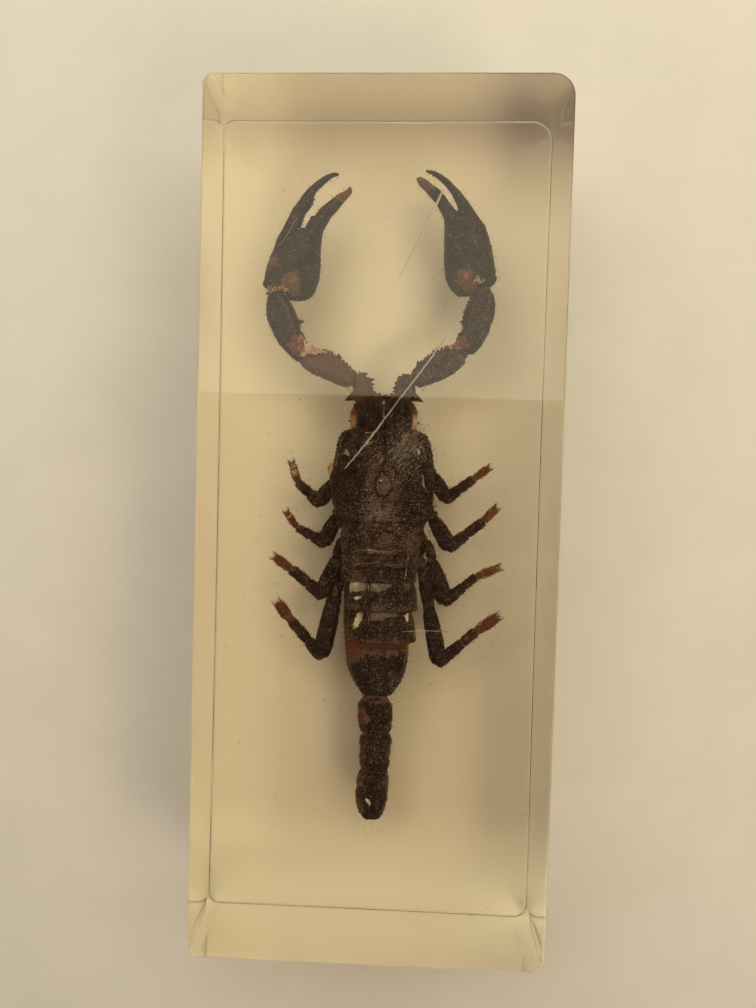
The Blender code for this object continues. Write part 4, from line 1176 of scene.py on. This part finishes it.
def leg(name, index, joints, rng):
    """One leg: skins of its segments and its hairs."""
    coxa, trochanter, hip, knee, ankle, tip = (np.array(joint) for joint in joints)
    thigh, shin, shin_end, foot, share = LEG_SIZES[name][index]
    salt = 400 + 40 * index + (20 if name == "right" else 0)
    middle = knee + (ankle - knee) * share + np.array([0, 0, LEG_LEVEL_STEP])
    half = shin + (shin_end - shin) * share
    heel = ankle + (tip - ankle) * 0.3
    root = coxa + (coxa - trochanter) * [0.45, 0.2, 0]
    root[2] = 7.9
    tuck = (knee - hip) / np.linalg.norm(knee - hip) * 0.4
    shin_way = (ankle - knee) / np.linalg.norm(ankle - knee)
    foot_way = (tip - heel) / np.linalg.norm(tip - heel)
    light = (RED + 0.06, RUST, RED + 0.05, RED + 0.02)[index] if name == "right" else RED + 0.04
    found = [
        leg_part([root, (root + trochanter) / 2 + [0, 0, -0.25], trochanter], [2.2, 2.5, 1.7], salt,
                 BROWN, False, caps=(0.5, 0.4)),
        leg_part(between(trochanter, hip, (-0.2, 0.4, 1.0)), [1.5, 1.85, 1.5], salt + 2, BROWN - 0.08,
                 caps=(0.4, 0.3)),
        leg_part(between(hip - tuck, knee + tuck * 0.6, (0, 0.15, 0.4, 0.7, 0.9, 1.0)),
                 [thigh * part for part in (0.6, 0.78, 0.94, 1.0, 0.96, 0.8)], salt + 4,
                 BLACK + 0.05, caps=(0.4, 0.45)),
        leg_part([knee - shin_way * 0.5, knee + shin_way * 0.1, (knee + middle) / 2, middle],
                 [shin * 0.85, shin, shin * 0.98, half], salt + 6, BLACK + 0.06, caps=(0.35, 0.12)),
        leg_part(between(middle - shin_way * 0.12, ankle, (0, 0.15, 0.6, 0.92, 1.0)),
                 [half * 0.78, half * 0.92, (half + shin_end) / 2, shin_end * 1.05, shin_end * 0.85],
                 salt + 8, BLACK + 0.08, caps=(0.12, 0.12)),
        leg_part(between(ankle - shin_way * 0.15, heel, (0, 0.3, 0.8, 1.0)),
                 [foot * 0.55, foot * 0.66, foot * 0.7, foot * 0.55],
                 salt + 10, light - 0.04, False, 32, (0.12, 0.12)),
        leg_part(between(heel - foot_way * 0.12, tip, (0, 0.15, 0.5, 0.8, 1.0)),
                 [foot * 0.5, foot * 0.76, foot * 0.92, foot * 0.86, foot * 0.5],
                 salt + 12, light, False, 32, (0.12, 0.15)),
    ]
    femur, shin_skin, sole = found[2], found[4], found[6]
    shin_skin.dye(np.clip(shin_skin.along / shin_skin.length * 3 - 2.1, 0, 1) * 0.7, DUN)
    for part in found[5:]:
        part.tone = part.tone + 0.12 * swell(part.points, 0.3, salt + 14)
    place = sole.along / sole.length
    # Pale patches on three right feet, partly pale bristles and skin and partly painted highlights
    if name == "right" and index < 3:
        sole.dye(np.clip(swell(sole.points, 0.2, salt + 15) - 0.3, 0, 1) * 1.5, PALE)
    if name == "left" and index == 0:
        sole.dye(hump(place, 0.45, 0.34) * (1.0 + 0.7 * swell(sole.points, 0.25, 97)), WHITE)
        sole.dye(hump(place, 0.55, 0.06), RED)
    if name == "left" and index == 1:
        sole.dye(hump(place, 0.62, 0.07) * 1.2, WHITE)
    if name == "left" and index == 3:
        femur.spot(-5.7, -8.9, 0.6, RED)
    if name == "right" and index == 3:
        shin_skin.spot(12.15, -14.7, 0.3, RUST + 0.02)
    found += foot_spines(ankle, tip, foot, rng, light - 0.06)
    fuzz = [hair(found[part], count, rng, long, 0.024, along=foot_way * 0.9)
            for part, count, long in LEG_HAIRS]
    return found, fuzz


# ---------------------------------------------------------------- tail

# Small horns at the corners of the tail's segments
TAIL_HORNS = [
    ((1.9, -23.9, 11.4), (2.65, -23.6, 11.4)), ((-1.4, -23.9, 11.4), (-1.95, -23.55, 11.4)),
    ((1.8, -28.2, 11.3), (2.4, -27.6, 11.4)), ((-0.9, -28.2, 11.3), (-1.35, -27.7, 11.4)),
    ((-1.1, -33.3, 11.1), (-1.55, -32.75, 11.2)), ((1.8, -33.2, 11.1), (2.2, -32.7, 11.2)),
    ((2.0, -26.6, 11.3), (2.65, -26.5, 11.3)), ((-1.3, -26.3, 11.3), (-1.95, -26.2, 11.3)),
    ((1.2, -38.1, 11.0), (1.75, -38.45, 11.0)), ((-1.1, -38.2, 11.0), (-1.55, -38.4, 11.0)),
]

TAIL = [
    [(-1.2, -22.0, 1.9, -22.1, 11.2, 2.4), (-1.4, -23.1, 2.0, -23.2, 11.2, 2.7),
     (-1.85, -23.7, 2.4, -23.8, 11.2, 3.4), (-1.85, -24.6, 2.55, -24.6, 11.2, 3.7),
     (-1.75, -26.2, 2.45, -26.2, 11.1, 3.7), (-1.45, -27.2, 2.25, -27.3, 11.1, 3.2),
     (-0.9, -27.75, 1.6, -27.8, 11.1, 2.6)],
    [(-0.9, -27.5, 1.9, -27.6, 11.1, 2.8), (-1.35, -27.9, 2.35, -27.9, 11.1, 3.3),
     (-1.4, -29.5, 2.35, -29.5, 11.1, 3.6), (-1.5, -31.0, 2.3, -31.0, 11.0, 3.6),
     (-1.25, -32.1, 2.2, -32.2, 11.0, 3.2), (-0.8, -32.7, 1.9, -32.7, 10.9, 2.7)],
    [(-0.9, -32.4, 1.9, -32.4, 10.9, 2.7), (-1.4, -32.9, 2.1, -32.8, 10.8, 3.3),
     (-1.75, -34.8, 2.2, -34.8, 10.6, 3.6), (-1.85, -36.4, 2.15, -36.4, 10.5, 3.7),
     (-1.65, -37.5, 1.95, -37.3, 10.4, 3.6), (-1.3, -38.4, 1.6, -38.3, 10.1, 3.2),
     (-0.75, -39.15, 1.1, -39.1, 9.9, 2.6)],
    [(-0.9, -36.9, 1.5, -36.9, 10.2, 2.4), (-1.2, -38.2, 1.75, -38.2, 8.9, 2.9),
     (-1.2, -37.3, 1.85, -37.3, 6.8, 3.1), (-0.9, -35.9, 1.6, -35.9, 5.9, 2.5)],
    [(-0.75, -36.6, 1.45, -36.6, 6.1, 2.2), (-1.15, -35.2, 1.95, -35.2, 5.7, 2.9),
     (-1.05, -31.2, 2.0, -31.2, 5.6, 2.9), (-0.6, -29.7, 1.6, -29.7, 5.6, 2.1)],
]
STING = [
    (-0.3, -30.2, 1.3, -30.2, 5.6, 1.5), (-0.85, -29.0, 1.95, -29.0, 5.7, 2.6),
    (-0.8, -27.0, 1.9, -27.0, 5.7, 2.5), (-0.1, -25.6, 1.2, -25.6, 5.3, 1.2),
    (0.28, -24.2, 0.88, -24.2, 4.7, 0.55), (0.48, -23.3, 0.68, -23.3, 4.1, 0.2),
]


def tail(rng):
    """Five ringed segments with beaded ridges, and the bulb with its sting."""
    found, fuzz = [], []
    for index, ribs in enumerate(TAIL):
        salt = 600 + 10 * index
        skin = tube(ribs, 88, 0.1, power=2.6, caps=(0.22, 0.22), tone=BLACK + 0.04)
        relief = 0.05 * swell(skin.points, 0.5, salt) + 0.10 * grains(skin.points, 0.34, 0.55, salt + 1)
        for degrees, height in ((52, 0.17), (128, 0.17), (8, 0.16), (172, 0.16), (205, 0.1),
                                (335, 0.1), (245, 0.12), (295, 0.12)):
            relief += keel(skin, degrees, height, 8.0, 0.36, 0.12, 0.9)
        relief -= 0.08 * hump(np.degrees(skin.angle), 90, 14.0) * (index < 3)
        skin.lift(relief + collar(skin, 0.09, 0.4), 0.9)
        rim = np.abs(np.cos(skin.angle)) > 0.86
        skin.dye(rim * (0.5 + 0.4 * swell(skin.points, 0.7, salt + 2)), RED)
        stripe = np.abs(np.degrees(skin.angle) - 42) < 22
        skin.dye(stripe * (0.4 + 0.5 * swell(skin.points, 0.9, salt + 3)), RED - 0.06)
        skin.dye(hump(np.degrees(skin.angle), 90, 30) * 0.8, BLACK + 0.05)
        if index == 0:
            neck = np.clip((skin.points[:, 1] + 23.6) / 0.4, 0, 1)
            skin.dye(neck * (0.55 + 0.4 * swell(skin.points, 0.5, 609)), RUST - 0.04)
            skin.spot(-1.35, -25.4, 0.9, RED)
        found.append(skin)
        fuzz.append(hair(skin, 70, rng, 0.45, 0.02, along=(0, -0.6, 0)))
    bulb = tube(STING, 60, 0.09, power=2.0, caps=(0.5, 0.06), tone=RED)
    bulb.lift(0.03 * swell(bulb.points, 0.4, 670) + 0.04 * grains(bulb.points, 0.35, 0.5, 671)
              * np.clip(0.6 - bulb.along / bulb.length, 0, 1))
    bulb.dye(np.clip(bulb.along / bulb.length * 2 - 1, 0, 1), BLACK)
    found.append(bulb)
    found += [thorn(base, tip, 0.6, BLACK + 0.1) for base, tip in TAIL_HORNS]
    fuzz.append(hair(bulb, 60, rng, 0.6, 0.02, along=(0, 0.5, 0)))
    return found, fuzz


# ---------------------------------------------------------------- films of air with painted reflections, and scratches

# Films of air on the back plates, painted pale as reflections: plate, outline in plan, brightest place,
# its reach and tone there
PLATE_FILMS = [
    (4, [(-3.5, -7.8), (-3.4, -7.3), (-1.05, -7.15), (-0.95, -7.7), (-1.3, -8.55), (-2.0, -8.65),
         (-3.0, -8.75), (-3.3, -9.2), (-3.5, -8.5)], (-3.1, -7.9), 1.9, 0.95),
    (4, [(-3.1, -9.4), (-2.8, -9.25), (-1.8, -9.0), (-1.8, -9.45), (-2.6, -9.85)],
     (-2.5, -9.4), 1.2, 1.2),
    (4, [(-0.85, -7.15), (2.1, -7.05), (2.2, -7.6), (1.3, -8.4), (0.3, -8.7), (-0.7, -8.55)],
     (0.4, -7.7), 3.0, 0.5),
    (4, [(3.5, -7.15), (4.6, -7.15), (4.6, -8.3), (3.7, -8.5)], (4.1, -7.7), 1.4, 0.36),
    (5, [(-3.0, -13.6), (-2.9, -12.8), (-2.4, -11.4), (-2.0, -11.1), (-1.4, -11.3), (-1.6, -12.3),
         (-2.1, -13.2), (-2.8, -13.7)], (-2.4, -12.4), 1.4, 1.35),
    (5, [(-0.8, -11.6), (-0.5, -11.15), (2.6, -11.15), (3.4, -11.6), (3.4, -11.8), (1.4, -11.9),
         (1.1, -12.35), (-0.6, -12.45)], (0.8, -11.6), 3.4, 0.36),
    (5, [(3.7, -11.6), (4.1, -11.25), (4.45, -11.25), (4.45, -12.4), (4.2, -12.7), (3.9, -12.1)],
     (4.15, -11.9), 0.9, 1.3),
]
# Thin lines of air, painted bright as reflections: plate, path in plan, width and tone
PLATE_LINES = [
    (1, [(-2.9, -3.4), (-1.6, -3.1), (0.8, -3.3), (3.2, -3.1), (4.4, -3.0)], 0.16, 0.75),
    (2, [(-3.4, -4.75), (-2.6, -5.0), (-0.5, -4.75), (1.2, -4.95), (3.6, -4.9)], 0.14, 0.7),
    (2, [(4.1, -3.6), (3.9, -4.8)], 0.14, 0.8), (3, [(3.85, -5.2), (3.75, -6.8)], 0.16, 0.85),
    (3, [(-3.2, -6.9), (-1.0, -7.0), (1.5, -6.9), (3.4, -7.0)], 0.10, 0.5),
    (4, [(-3.55, -8.3), (-3.35, -9.3), (-3.0, -10.1), (-2.7, -10.4)], 0.12, 0.6),
    (4, [(-1.05, -7.2), (-0.95, -8.5)], 0.12, 0.85), (5, [(-0.95, -11.2), (-0.85, -12.5)], 0.12, 0.75),
    (5, [(-1.0, -11.1), (0.9, -10.98), (2.8, -11.05), (3.6, -11.6)], 0.10, 0.5),
    (5, [(1.0, -11.1), (1.1, -11.9)], 0.10, 0.6), (5, [(4.5, -11.3), (4.65, -12.9)], 0.10, 0.6),
    (6, [(4.2, -16.6), (4.1, -17.8)], 0.14, 0.75),
    (6, [(-2.0, -16.6), (-0.2, -16.9), (0.6, -17.4)], 0.12, 0.5),
]
# Thin lines of air near the edges of the head shield, painted bright as reflections
HEAD_LINES = [
    [(-4.7, 11.5), (-5.1, 10.6), (-5.3, 9.8)], [(-5.45, 9.3), (-5.6, 8.4), (-5.75, 7.4)],
    [(-2.4, 9.9), (-1.6, 10.5), (-0.8, 10.9), (-0.4, 10.7)], [(-1.9, 12.0), (-0.6, 11.9)],
    [(5.6, 6.6), (6.2, 4.6)], [(5.0, 10.6), (5.7, 10.1), (6.0, 9.0)],
]
# Small films of air on the head shield, painted bright as reflections: outline in plan and tone
HEAD_FILMS = [
    ([(-4.3, 10.05), (-4.75, 9.15), (-3.7, 8.75), (-3.85, 9.5)], 0.8),
    ([(4.75, 10.15), (5.1, 9.95), (5.3, 9.3), (5.0, 9.3)], 1.3),
    ([(5.3, 6.95), (5.5, 6.9), (6.0, 6.0), (5.75, 5.9)], 0.9),
    ([(5.55, 5.7), (5.8, 5.75), (6.1, 5.25), (5.85, 5.15)], 1.2),
    ([(0.1, 5.95), (0.45, 6.0), (0.5, 5.7), (0.15, 5.65)], 1.3),
    ([(-0.1, 10.8), (0.05, 10.85), (0.1, 10.45), (-0.05, 10.4)], 0.9),
]
# A film of air on the third tail segment, painted bright as a reflection: outline in plan
TAIL_FILM = [(-0.9, -36.1), (-0.6, -36.0), (-0.1, -36.3), (0.15, -36.8), (0.05, -37.3), (-0.15, -37.2),
             (-0.2, -36.9), (-0.6, -36.65)]
FILM_GAP = 0.04
LINE_REACH = 9.0
PATCH_REACH = 0.9
HEAD_LINE_WIDTH, HEAD_LINE_TONE = 0.18, 0.8
TAIL_FILM_TONE = 1.25

# Long or deep scratches in the top face: start, end and width
SCRATCHES = [
    ((7.9, 23.9), (1.9, 15.4), 0.26), ((2.05, 15.6), (-4.2, 7.2), 0.26),
    ((6.9, 41.3), (5.0, 37.7), 0.36), ((5.3, 38.3), (1.7, 30.3), 0.09),
    ((3.3, -12.68), (9.0, -12.5), 0.10),
    ((-10.6, 37.6), (-12.9, 33.9), 0.05), ((-12.6, 40.1), (-12.2, 41.0), 0.09),
]
# Fine scratches: middle of a patch, its spread, how many, the way they run in degrees, the longest
FINE_SCRATCHES = [
    ((3.2, 9.8), (1.3, 1.8), 330, 47, 0.8), ((3.6, 9.6), (1.3, 1.5), 170, 136, 0.5),
    ((1.6, 7.5), (1.3, 1.2), 110, 44, 1.0), ((4.2, 12.4), (0.8, 0.8), 150, 40, 0.7),
    ((3.0, 9.0), (1.1, 1.6), 26, 46, 2.4), ((-0.4, 3.0), (1.3, 1.8), 340, 20, 0.3),
    ((-1.0, 10.2), (1.8, 0.7), 110, 40, 0.3),
    ((-0.2, 2.0), (0.8, 0.5), 120, 25, 0.5), ((1.0, 0.9), (1.6, 0.7), 130, 10, 0.6),
    ((3.6, 4.5), (1.9, 3.2), 320, 50, 0.3), ((-1.5, 4.0), (2.6, 4.5), 420, 52, 0.25),
    ((0.5, -4.0), (3.6, 3.0), 380, 10, 0.25), ((2.6, -9.5), (1.8, 2.4), 260, 60, 0.25),
    ((1.2, -18.5), (2.2, 2.0), 420, 58, 0.25), ((2.5, -19.6), (0.35, 1.2), 120, 72, 0.3),
    ((0.9, -26.0), (1.1, 3.2), 260, 66, 0.25), ((0.3, -33.5), (1.3, 3.4), 160, 60, 0.25),
    ((-8.0, -4.0), (3.4, 8.0), 320, 40, 0.25), ((9.0, -5.0), (3.6, 8.0), 520, 55, 0.3),
    ((-10.0, 30.0), (3.5, 7.5), 200, 50, 0.4), ((9.0, 30.0), (3.5, 7.5), 300, 50, 0.4),
    ((0.0, 0.0), (15.0, 32.0), 400, 45, 0.6),
]
SCRATCH_DEPTH = 0.03
SCRATCH_THICKNESS = 0.012


def film(skin, corners, bright, reach, tone, fade=0.14, ragged=0.08):
    """A film of air just over a surface inside an outline, coloured as a painted reflection that is
    brightest near one place.
    """
    low, high = np.min(corners, axis=0) - 0.5, np.max(corners, axis=0) + 0.5
    plan = skin.points[:, :2]
    inside = (plan > low).all(axis=1) & (plan < high).all(axis=1)
    near = skin.points[(skin.normals()[:, 2] > 0.2) & inside]

    def height(x, y):
        weight = 1 / ((x[:, None] - near[:, 0]) ** 2 + (y[:, None] - near[:, 1]) ** 2 + 0.001) ** 2
        return (weight * near[:, 2]).sum(axis=1) / weight.sum(axis=1)

    result, depth = pane(corners, height, FILM_GAP, ragged, 0.05)
    away = np.hypot(result.points[:, 0] - bright[0], result.points[:, 1] - bright[1]) / reach
    streak = 0.85 + 0.25 * swell(result.points * [1, 0.3, 1], 0.25, 703)
    result.tone = np.clip(tone * np.clip(depth / fade, 0, 1) * np.exp(-away ** 2) * streak, 0, 1)
    return result


def ribbon(path, width):
    """The outline of a strip along a path in plan."""
    path = np.array(path)
    forward = np.gradient(path, axis=0)
    square = np.column_stack([-forward[:, 1], forward[:, 0]])
    square *= width / 2 / np.linalg.norm(square, axis=1, keepdims=True)
    return [tuple(point) for point in np.vstack([path + square, (path - square)[::-1]])]


def bright_line(skin, path, width, tone):
    """A thin line of air along a path in plan, painted bright as a reflection."""
    return film(skin, ribbon(path, width), path[0], LINE_REACH, tone, 0.04, 0.14)


def bright_patch(skin, corners, tone):
    """A small film of air, painted as a reflection that is brightest in its middle."""
    return film(skin, corners, np.mean(corners, axis=0), PATCH_REACH, tone, 0.08)


def sliver(middle, half):
    """A thin flat closed strip along points in plan, just under the top face."""
    middle, half = np.asarray(middle), np.asarray(half)
    forward = np.gradient(middle, axis=0)
    square = np.column_stack([-forward[:, 1], forward[:, 0]])
    square /= np.linalg.norm(square, axis=1, keepdims=True)
    count = len(middle)
    loop = np.vstack([middle + square * half[:, None], (middle - square * half[:, None])[::-1]])
    top = BLOCK_HEIGHT - SCRATCH_DEPTH
    points = np.vstack([np.column_stack([loop, np.full(2 * count, level)])
                        for level in (top, top - SCRATCH_THICKNESS)])
    step = np.arange(count - 1)
    other = 2 * count - 1 - step
    flat = np.concatenate([triangles(step, other, other - 1), triangles(step, other - 1, step + 1)])
    turn = np.arange(2 * count)
    after = (turn + 1) % (2 * count)
    walls = np.concatenate([triangles(turn, after, after + 2 * count),
                            triangles(turn, after + 2 * count, turn + 2 * count)])
    return Skin(points, np.concatenate([flat, flat[:, ::-1] + 2 * count, walls]))


def scratch(start, end, width, rng):
    """A long scratch with a slight wander and a ragged width."""
    start, end = np.array(start), np.array(end)
    count = max(6, int(np.linalg.norm(end - start) / 0.3))
    share = np.linspace(0, 1, count)
    out = (end - start) / np.linalg.norm(end - start)
    square = np.array([-out[1], out[0]])
    bow = 0.12 * np.sin(math.pi * share) + 0.02 * rng.normal(0, 1, count)
    middle = start + (end - start) * share[:, None] + square * bow[:, None]
    ends = np.sin(math.pi * np.clip(share, 0.03, 0.97)) ** 0.3
    return sliver(middle, width / 2 * ends * (0.75 + 0.3 * rng.random(count)))


def fine_scratches(rng):
    """Many short fine scratches and specks, as on a much handled face."""
    found = []
    limit_x, limit_y = BLOCK_WIDTH / 2 - 1.0, BLOCK_LENGTH / 2 - 1.5
    for middle, reach, count, degrees, longest in FINE_SCRATCHES:
        for _ in range(count):
            start = np.array(middle) + rng.normal(0, 1, 2) * reach
            turn = math.radians(degrees + rng.normal(0, 5 + 20 * (longest < 0.5)))
            long = 0.05 + longest * rng.random() ** 2
            end = start + long * np.array([math.cos(turn), math.sin(turn)])
            if max(abs(start[0]), abs(end[0])) > limit_x or max(abs(start[1]), abs(end[1])) > limit_y:
                continue
            half = (0.010 + 0.020 * rng.random() ** 2) * np.array([0.7, 1.0, 0.7])
            found.append(sliver([start, (start + end) / 2, end], half))
    return found


# ---------------------------------------------------------------- the block

CORNER_STEPS = 10
RIM_STEPS = 6


def outline(inset):
    """Points and outward directions round the block at an inset, anticlockwise."""
    points, normals = [], []
    for side, end, radius in CORNER_RADII:
        skew = FRONT_SKEW if end > 0 else BACK_SKEW
        end_normal = np.array([-skew * end, end]) / math.hypot(skew, 1.0)
        side_normal = np.array([side, 0.0])
        corner_y = end * BLOCK_LENGTH / 2 + skew * side * BLOCK_WIDTH / 2
        centre_x = side * (BLOCK_WIDTH / 2 - radius)
        centre_y = corner_y - skew * side * radius - end * radius * math.hypot(skew, 1.0)
        first = math.atan2(side_normal[1], side_normal[0])
        last = math.atan2(end_normal[1], end_normal[0])
        if side * end < 0:
            first, last = last, first
        if last < first:
            last += 2 * math.pi
        for step in range(CORNER_STEPS + 1):
            angle = first + (last - first) * step / CORNER_STEPS
            normal = np.array([math.cos(angle), math.sin(angle)])
            points.append(np.array([centre_x, centre_y]) + normal * (radius - inset))
            normals.append(normal)
    return np.array(points), np.array(normals)


def block_mesh():
    """The resin block with rounded corners and rims and truly flat faces."""
    leans = [math.pi / 2 * step / RIM_STEPS for step in range(RIM_STEPS + 1)]
    levels = [(BOTTOM_RIM * (1 - math.sin(lean)), BOTTOM_RIM * (1 - math.cos(lean)), -math.cos(lean))
              for lean in leans]
    levels += [(TOP_RIM * (1 - math.cos(lean)), BLOCK_HEIGHT - TOP_RIM * (1 - math.sin(lean)),
                math.sin(lean)) for lean in leans]
    verts, normals = [], []
    for inset, height, tilt in levels:
        points, away = outline(inset)
        flat = math.sqrt(max(0.0, 1 - tilt * tilt))
        for point, normal in zip(points, away):
            verts.append((point[0] * MM, point[1] * MM, height * MM))
            normals.append((normal[0] * flat, normal[1] * flat, tilt))
    count = len(verts) // len(levels)
    faces = [tuple(reversed(range(count)))]
    for level in range(len(levels) - 1):
        low = level * count
        for index in range(count):
            after = (index + 1) % count
            faces.append((low + index, low + after, low + count + after, low + count + index))
    faces.append(tuple(range(len(verts) - count, len(verts))))
    mesh = bpy.data.meshes.new("resin")
    mesh.from_pydata(verts, [], faces)
    mesh.shade_smooth()
    mesh.normals_split_custom_set_from_vertices(normals)
    ground = mesh.attributes.new("ground", "FLOAT", "FACE")
    ground.data.foreach_set("value", [1.0] + [SIDE_SHARE] * (len(faces) - 2) + [0.0])
    return mesh


# ---------------------------------------------------------------- floor, light and camera

FLOOR_HALF = 0.6
FLOOR_LEVEL = -0.0001
FLOOR_DARK, FLOOR_LIGHT = (0.765, 0.755, 0.71), (0.805, 0.795, 0.75)
LOW_LIGHT = (0.16, 0.17, 0.175)
HIGH_LIGHT = (0.21, 0.11, 0.062)
WORLD_STRENGTH = 0.6
# Soft lights, in metres and watts: name, place, target, width and length, power and colour
LIGHTS = (
    ("ceiling", (-0.05, 0.3218, 0.30), (-0.05, 0.3218, 0), (0.8, 0.5566), 2.23, (1.0, 0.90, 0.66)),
    ("key", (0.42, -0.13, 0.32), (0, 0, 0), (0.45, 0.45), 0.57, (1.0, 0.97, 0.45)),
    ("near_right", (0.26, -0.30, 0.40), (0, 0, 0), (0.2, 0.2), 0.58, (1.0, 0.75, 0.64)),
    ("near_left", (-0.26, -0.30, 0.40), (0, 0, 0), (0.2, 0.2), 0.10, (1.0, 0.62, 0.45)),
    ("window", (-0.16, 0.30, 0.24), (-0.02, 0.05, 0), (0.2, 0.2), 0.10, (0.35, 0.6, 1.0)),
)
# The camera, fitted to the block's edges in the photograph
CAMERA_PLACE = (0.326, 6.732, 118.267)
CAMERA_TURN = (0.03846, -0.00389, -0.0269)    # axis times angle, from the world to the camera
FOCAL_LENGTH = 786.0                          # pixels of the photograph
PHOTO_HEIGHT = 1008.0                         # pixels
SENSOR_SIZE = 36.0
NEAREST_SEEN = 0.005


def make_floor():
    """A pale wooden floor, without anything else of the room."""
    mesh = bpy.data.meshes.new("floor")
    corners = [(x * FLOOR_HALF, y * FLOOR_HALF, FLOOR_LEVEL)
               for x, y in ((-1, -1), (1, -1), (1, 1), (-1, 1))]
    mesh.from_pydata(corners, [], [(0, 1, 2, 3)])
    floor = new_object("floor", mesh)
    result, tree, shader = material("floor")
    tree.links.new(ramp(tree, noise(tree, 60.0), ((0.35, FLOOR_DARK), (0.65, FLOOR_LIGHT))),
                   shader.inputs["Base Color"])
    shader.inputs["Roughness"].default_value = 0.6
    mesh.materials.append(result)


def make_world():
    """Light from all round: pale from low down, dim and brown from straight above."""
    world = bpy.data.worlds.new("room")
    bpy.context.scene.world = world
    world.use_nodes = True
    tree = world.node_tree
    where = tree.nodes.new("ShaderNodeTexCoord")
    parts = tree.nodes.new("ShaderNodeSeparateXYZ")
    tree.links.new(where.outputs["Generated"], parts.inputs["Vector"])
    colour = ramp(tree, parts.outputs["Z"], ((0.66, LOW_LIGHT), (0.80, HIGH_LIGHT)))
    tree.links.new(colour, tree.nodes["Background"].inputs["Color"])
    tree.nodes["Background"].inputs["Strength"].default_value = WORLD_STRENGTH


def area_light(name, place, target, size, power, colour):
    """A soft light aimed at a target."""
    light = bpy.data.lights.new(name, "AREA")
    light.shape = "RECTANGLE"
    light.size, light.size_y = size
    light.energy = power
    light.color = colour
    item = bpy.data.objects.new(name, light)
    item.location = place
    item.rotation_euler = (Vector(target) - Vector(place)).to_track_quat("-Z", "Y").to_euler()
    bpy.context.scene.collection.objects.link(item)


def make_camera():
    """The camera, at the place the photograph was taken from."""
    place = Vector(CAMERA_PLACE) * MM
    turn = Vector(CAMERA_TURN)
    to_camera = Matrix.Rotation(turn.length, 3, turn.normalized())
    camera = bpy.data.cameras.new("camera")
    camera.sensor_width = SENSOR_SIZE
    camera.lens = FOCAL_LENGTH * SENSOR_SIZE / PHOTO_HEIGHT
    camera.clip_start = NEAREST_SEEN
    item = bpy.data.objects.new("camera", camera)
    item.matrix_world = Matrix.Translation(place) @ to_camera.inverted().to_4x4()
    bpy.context.scene.collection.objects.link(item)
    bpy.context.scene.camera = item


# ---------------------------------------------------------------- build

rng = np.random.default_rng(RANDOM_SEED)
shell = shell_material()
eye_skin = plain_material("eye", (0.012, 0.009, 0.008), 0.12, 1.5)
scratch_skin = plain_material("scratch", (0.9, 0.84, 0.74), 0.6, 1.2, 0.55)
fine_skin = plain_material("fine_scratch", (0.8, 0.68, 0.56), 0.6, 1.2, 0.5)

block = new_object("resin_block", block_mesh())
block.data.materials.append(resin_material())
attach(block, "root")
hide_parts("resin_lower", "resin_upper")

body = soft_body()
head = head_shield()
plates = [back_plate(index) for index in range(len(BACK_PLATES))] + [last_back_plate()]
dress("body", [body], shell, replaces=("scorpion",))
dress("head_shield", [head], shell, replaces=("scorpion",))
dress("back_plates", plates, shell, replaces=("scorpion",))
dress("belly", [belly_plate(index) for index in range(len(BELLY_PLATES))] + underside_parts(), shell,
      replaces=("scorpion",))
dress("eyes", eyes(), eye_skin, replaces=("scorpion",))

mouth, fuzz = mouth_parts(rng)
dress("mouth_parts", mouth, shell, replaces=("scorpion",))
for side, name, ribs in ((-1, "left_arm", LEFT_ARM), (1, "right_arm", RIGHT_ARM)):
    skins, more = arm(side, ribs, rng)
    dress(name, skins, shell, replaces=("scorpion",))
    fuzz += more
for side, name in ((-1, "left"), (1, "right")):
    skins = []
    for index, joints in enumerate(LEGS[name]):
        found, more = leg(name, index, joints, rng)
        skins += found
        fuzz += more
    dress(name + "_front_legs", skins[:len(skins) // 2], shell, replaces=("scorpion",))
    dress(name + "_rear_legs", skins[len(skins) // 2:], shell, replaces=("scorpion",))
tail_skins, more = tail(rng)
dress("tail", tail_skins, shell, replaces=("scorpion",))
fuzz += more
dress("skin_flakes", [rag(corners, level, tone, 800 + 10 * index)
                      for index, (corners, level, tone) in enumerate(FLAKES)], shell)
sides = np.abs(body.points[:, 0] - MIDLINE) > 3.0
fuzz.append(hair(body, 160, rng, 0.5, weight=sides + 0.02))
fuzz.append(hair(head, 200, rng, 0.4, weight=(np.abs(head.across) > 0.9) + 0.03))
dress("bristles", fuzz, shell, replaces=("scorpion",))

# Films of air whose pale, glossy colour is a painted reflection
films = [film(plates[index], *row) for index, *row in PLATE_FILMS]
films += [bright_line(plates[index], *row) for index, *row in PLATE_LINES]
films += [bright_patch(head, *row) for row in HEAD_FILMS]
films += [bright_line(head, path, HEAD_LINE_WIDTH, HEAD_LINE_TONE) for path in HEAD_LINES]
films.append(bright_patch(tail_skins[2], TAIL_FILM, TAIL_FILM_TONE))
dress("glint_films", films, glint_film_material())
dress("deep_scratches", [scratch(*row, rng) for row in SCRATCHES], scratch_skin)
dress("fine_scratches", fine_scratches(rng), fine_skin)

make_floor()
make_world()
for light_row in LIGHTS:
    area_light(*light_row)
make_camera()
bpy.context.scene.cycles.blur_glossy = 0.0
bpy.context.scene.view_settings.view_transform = "Standard"
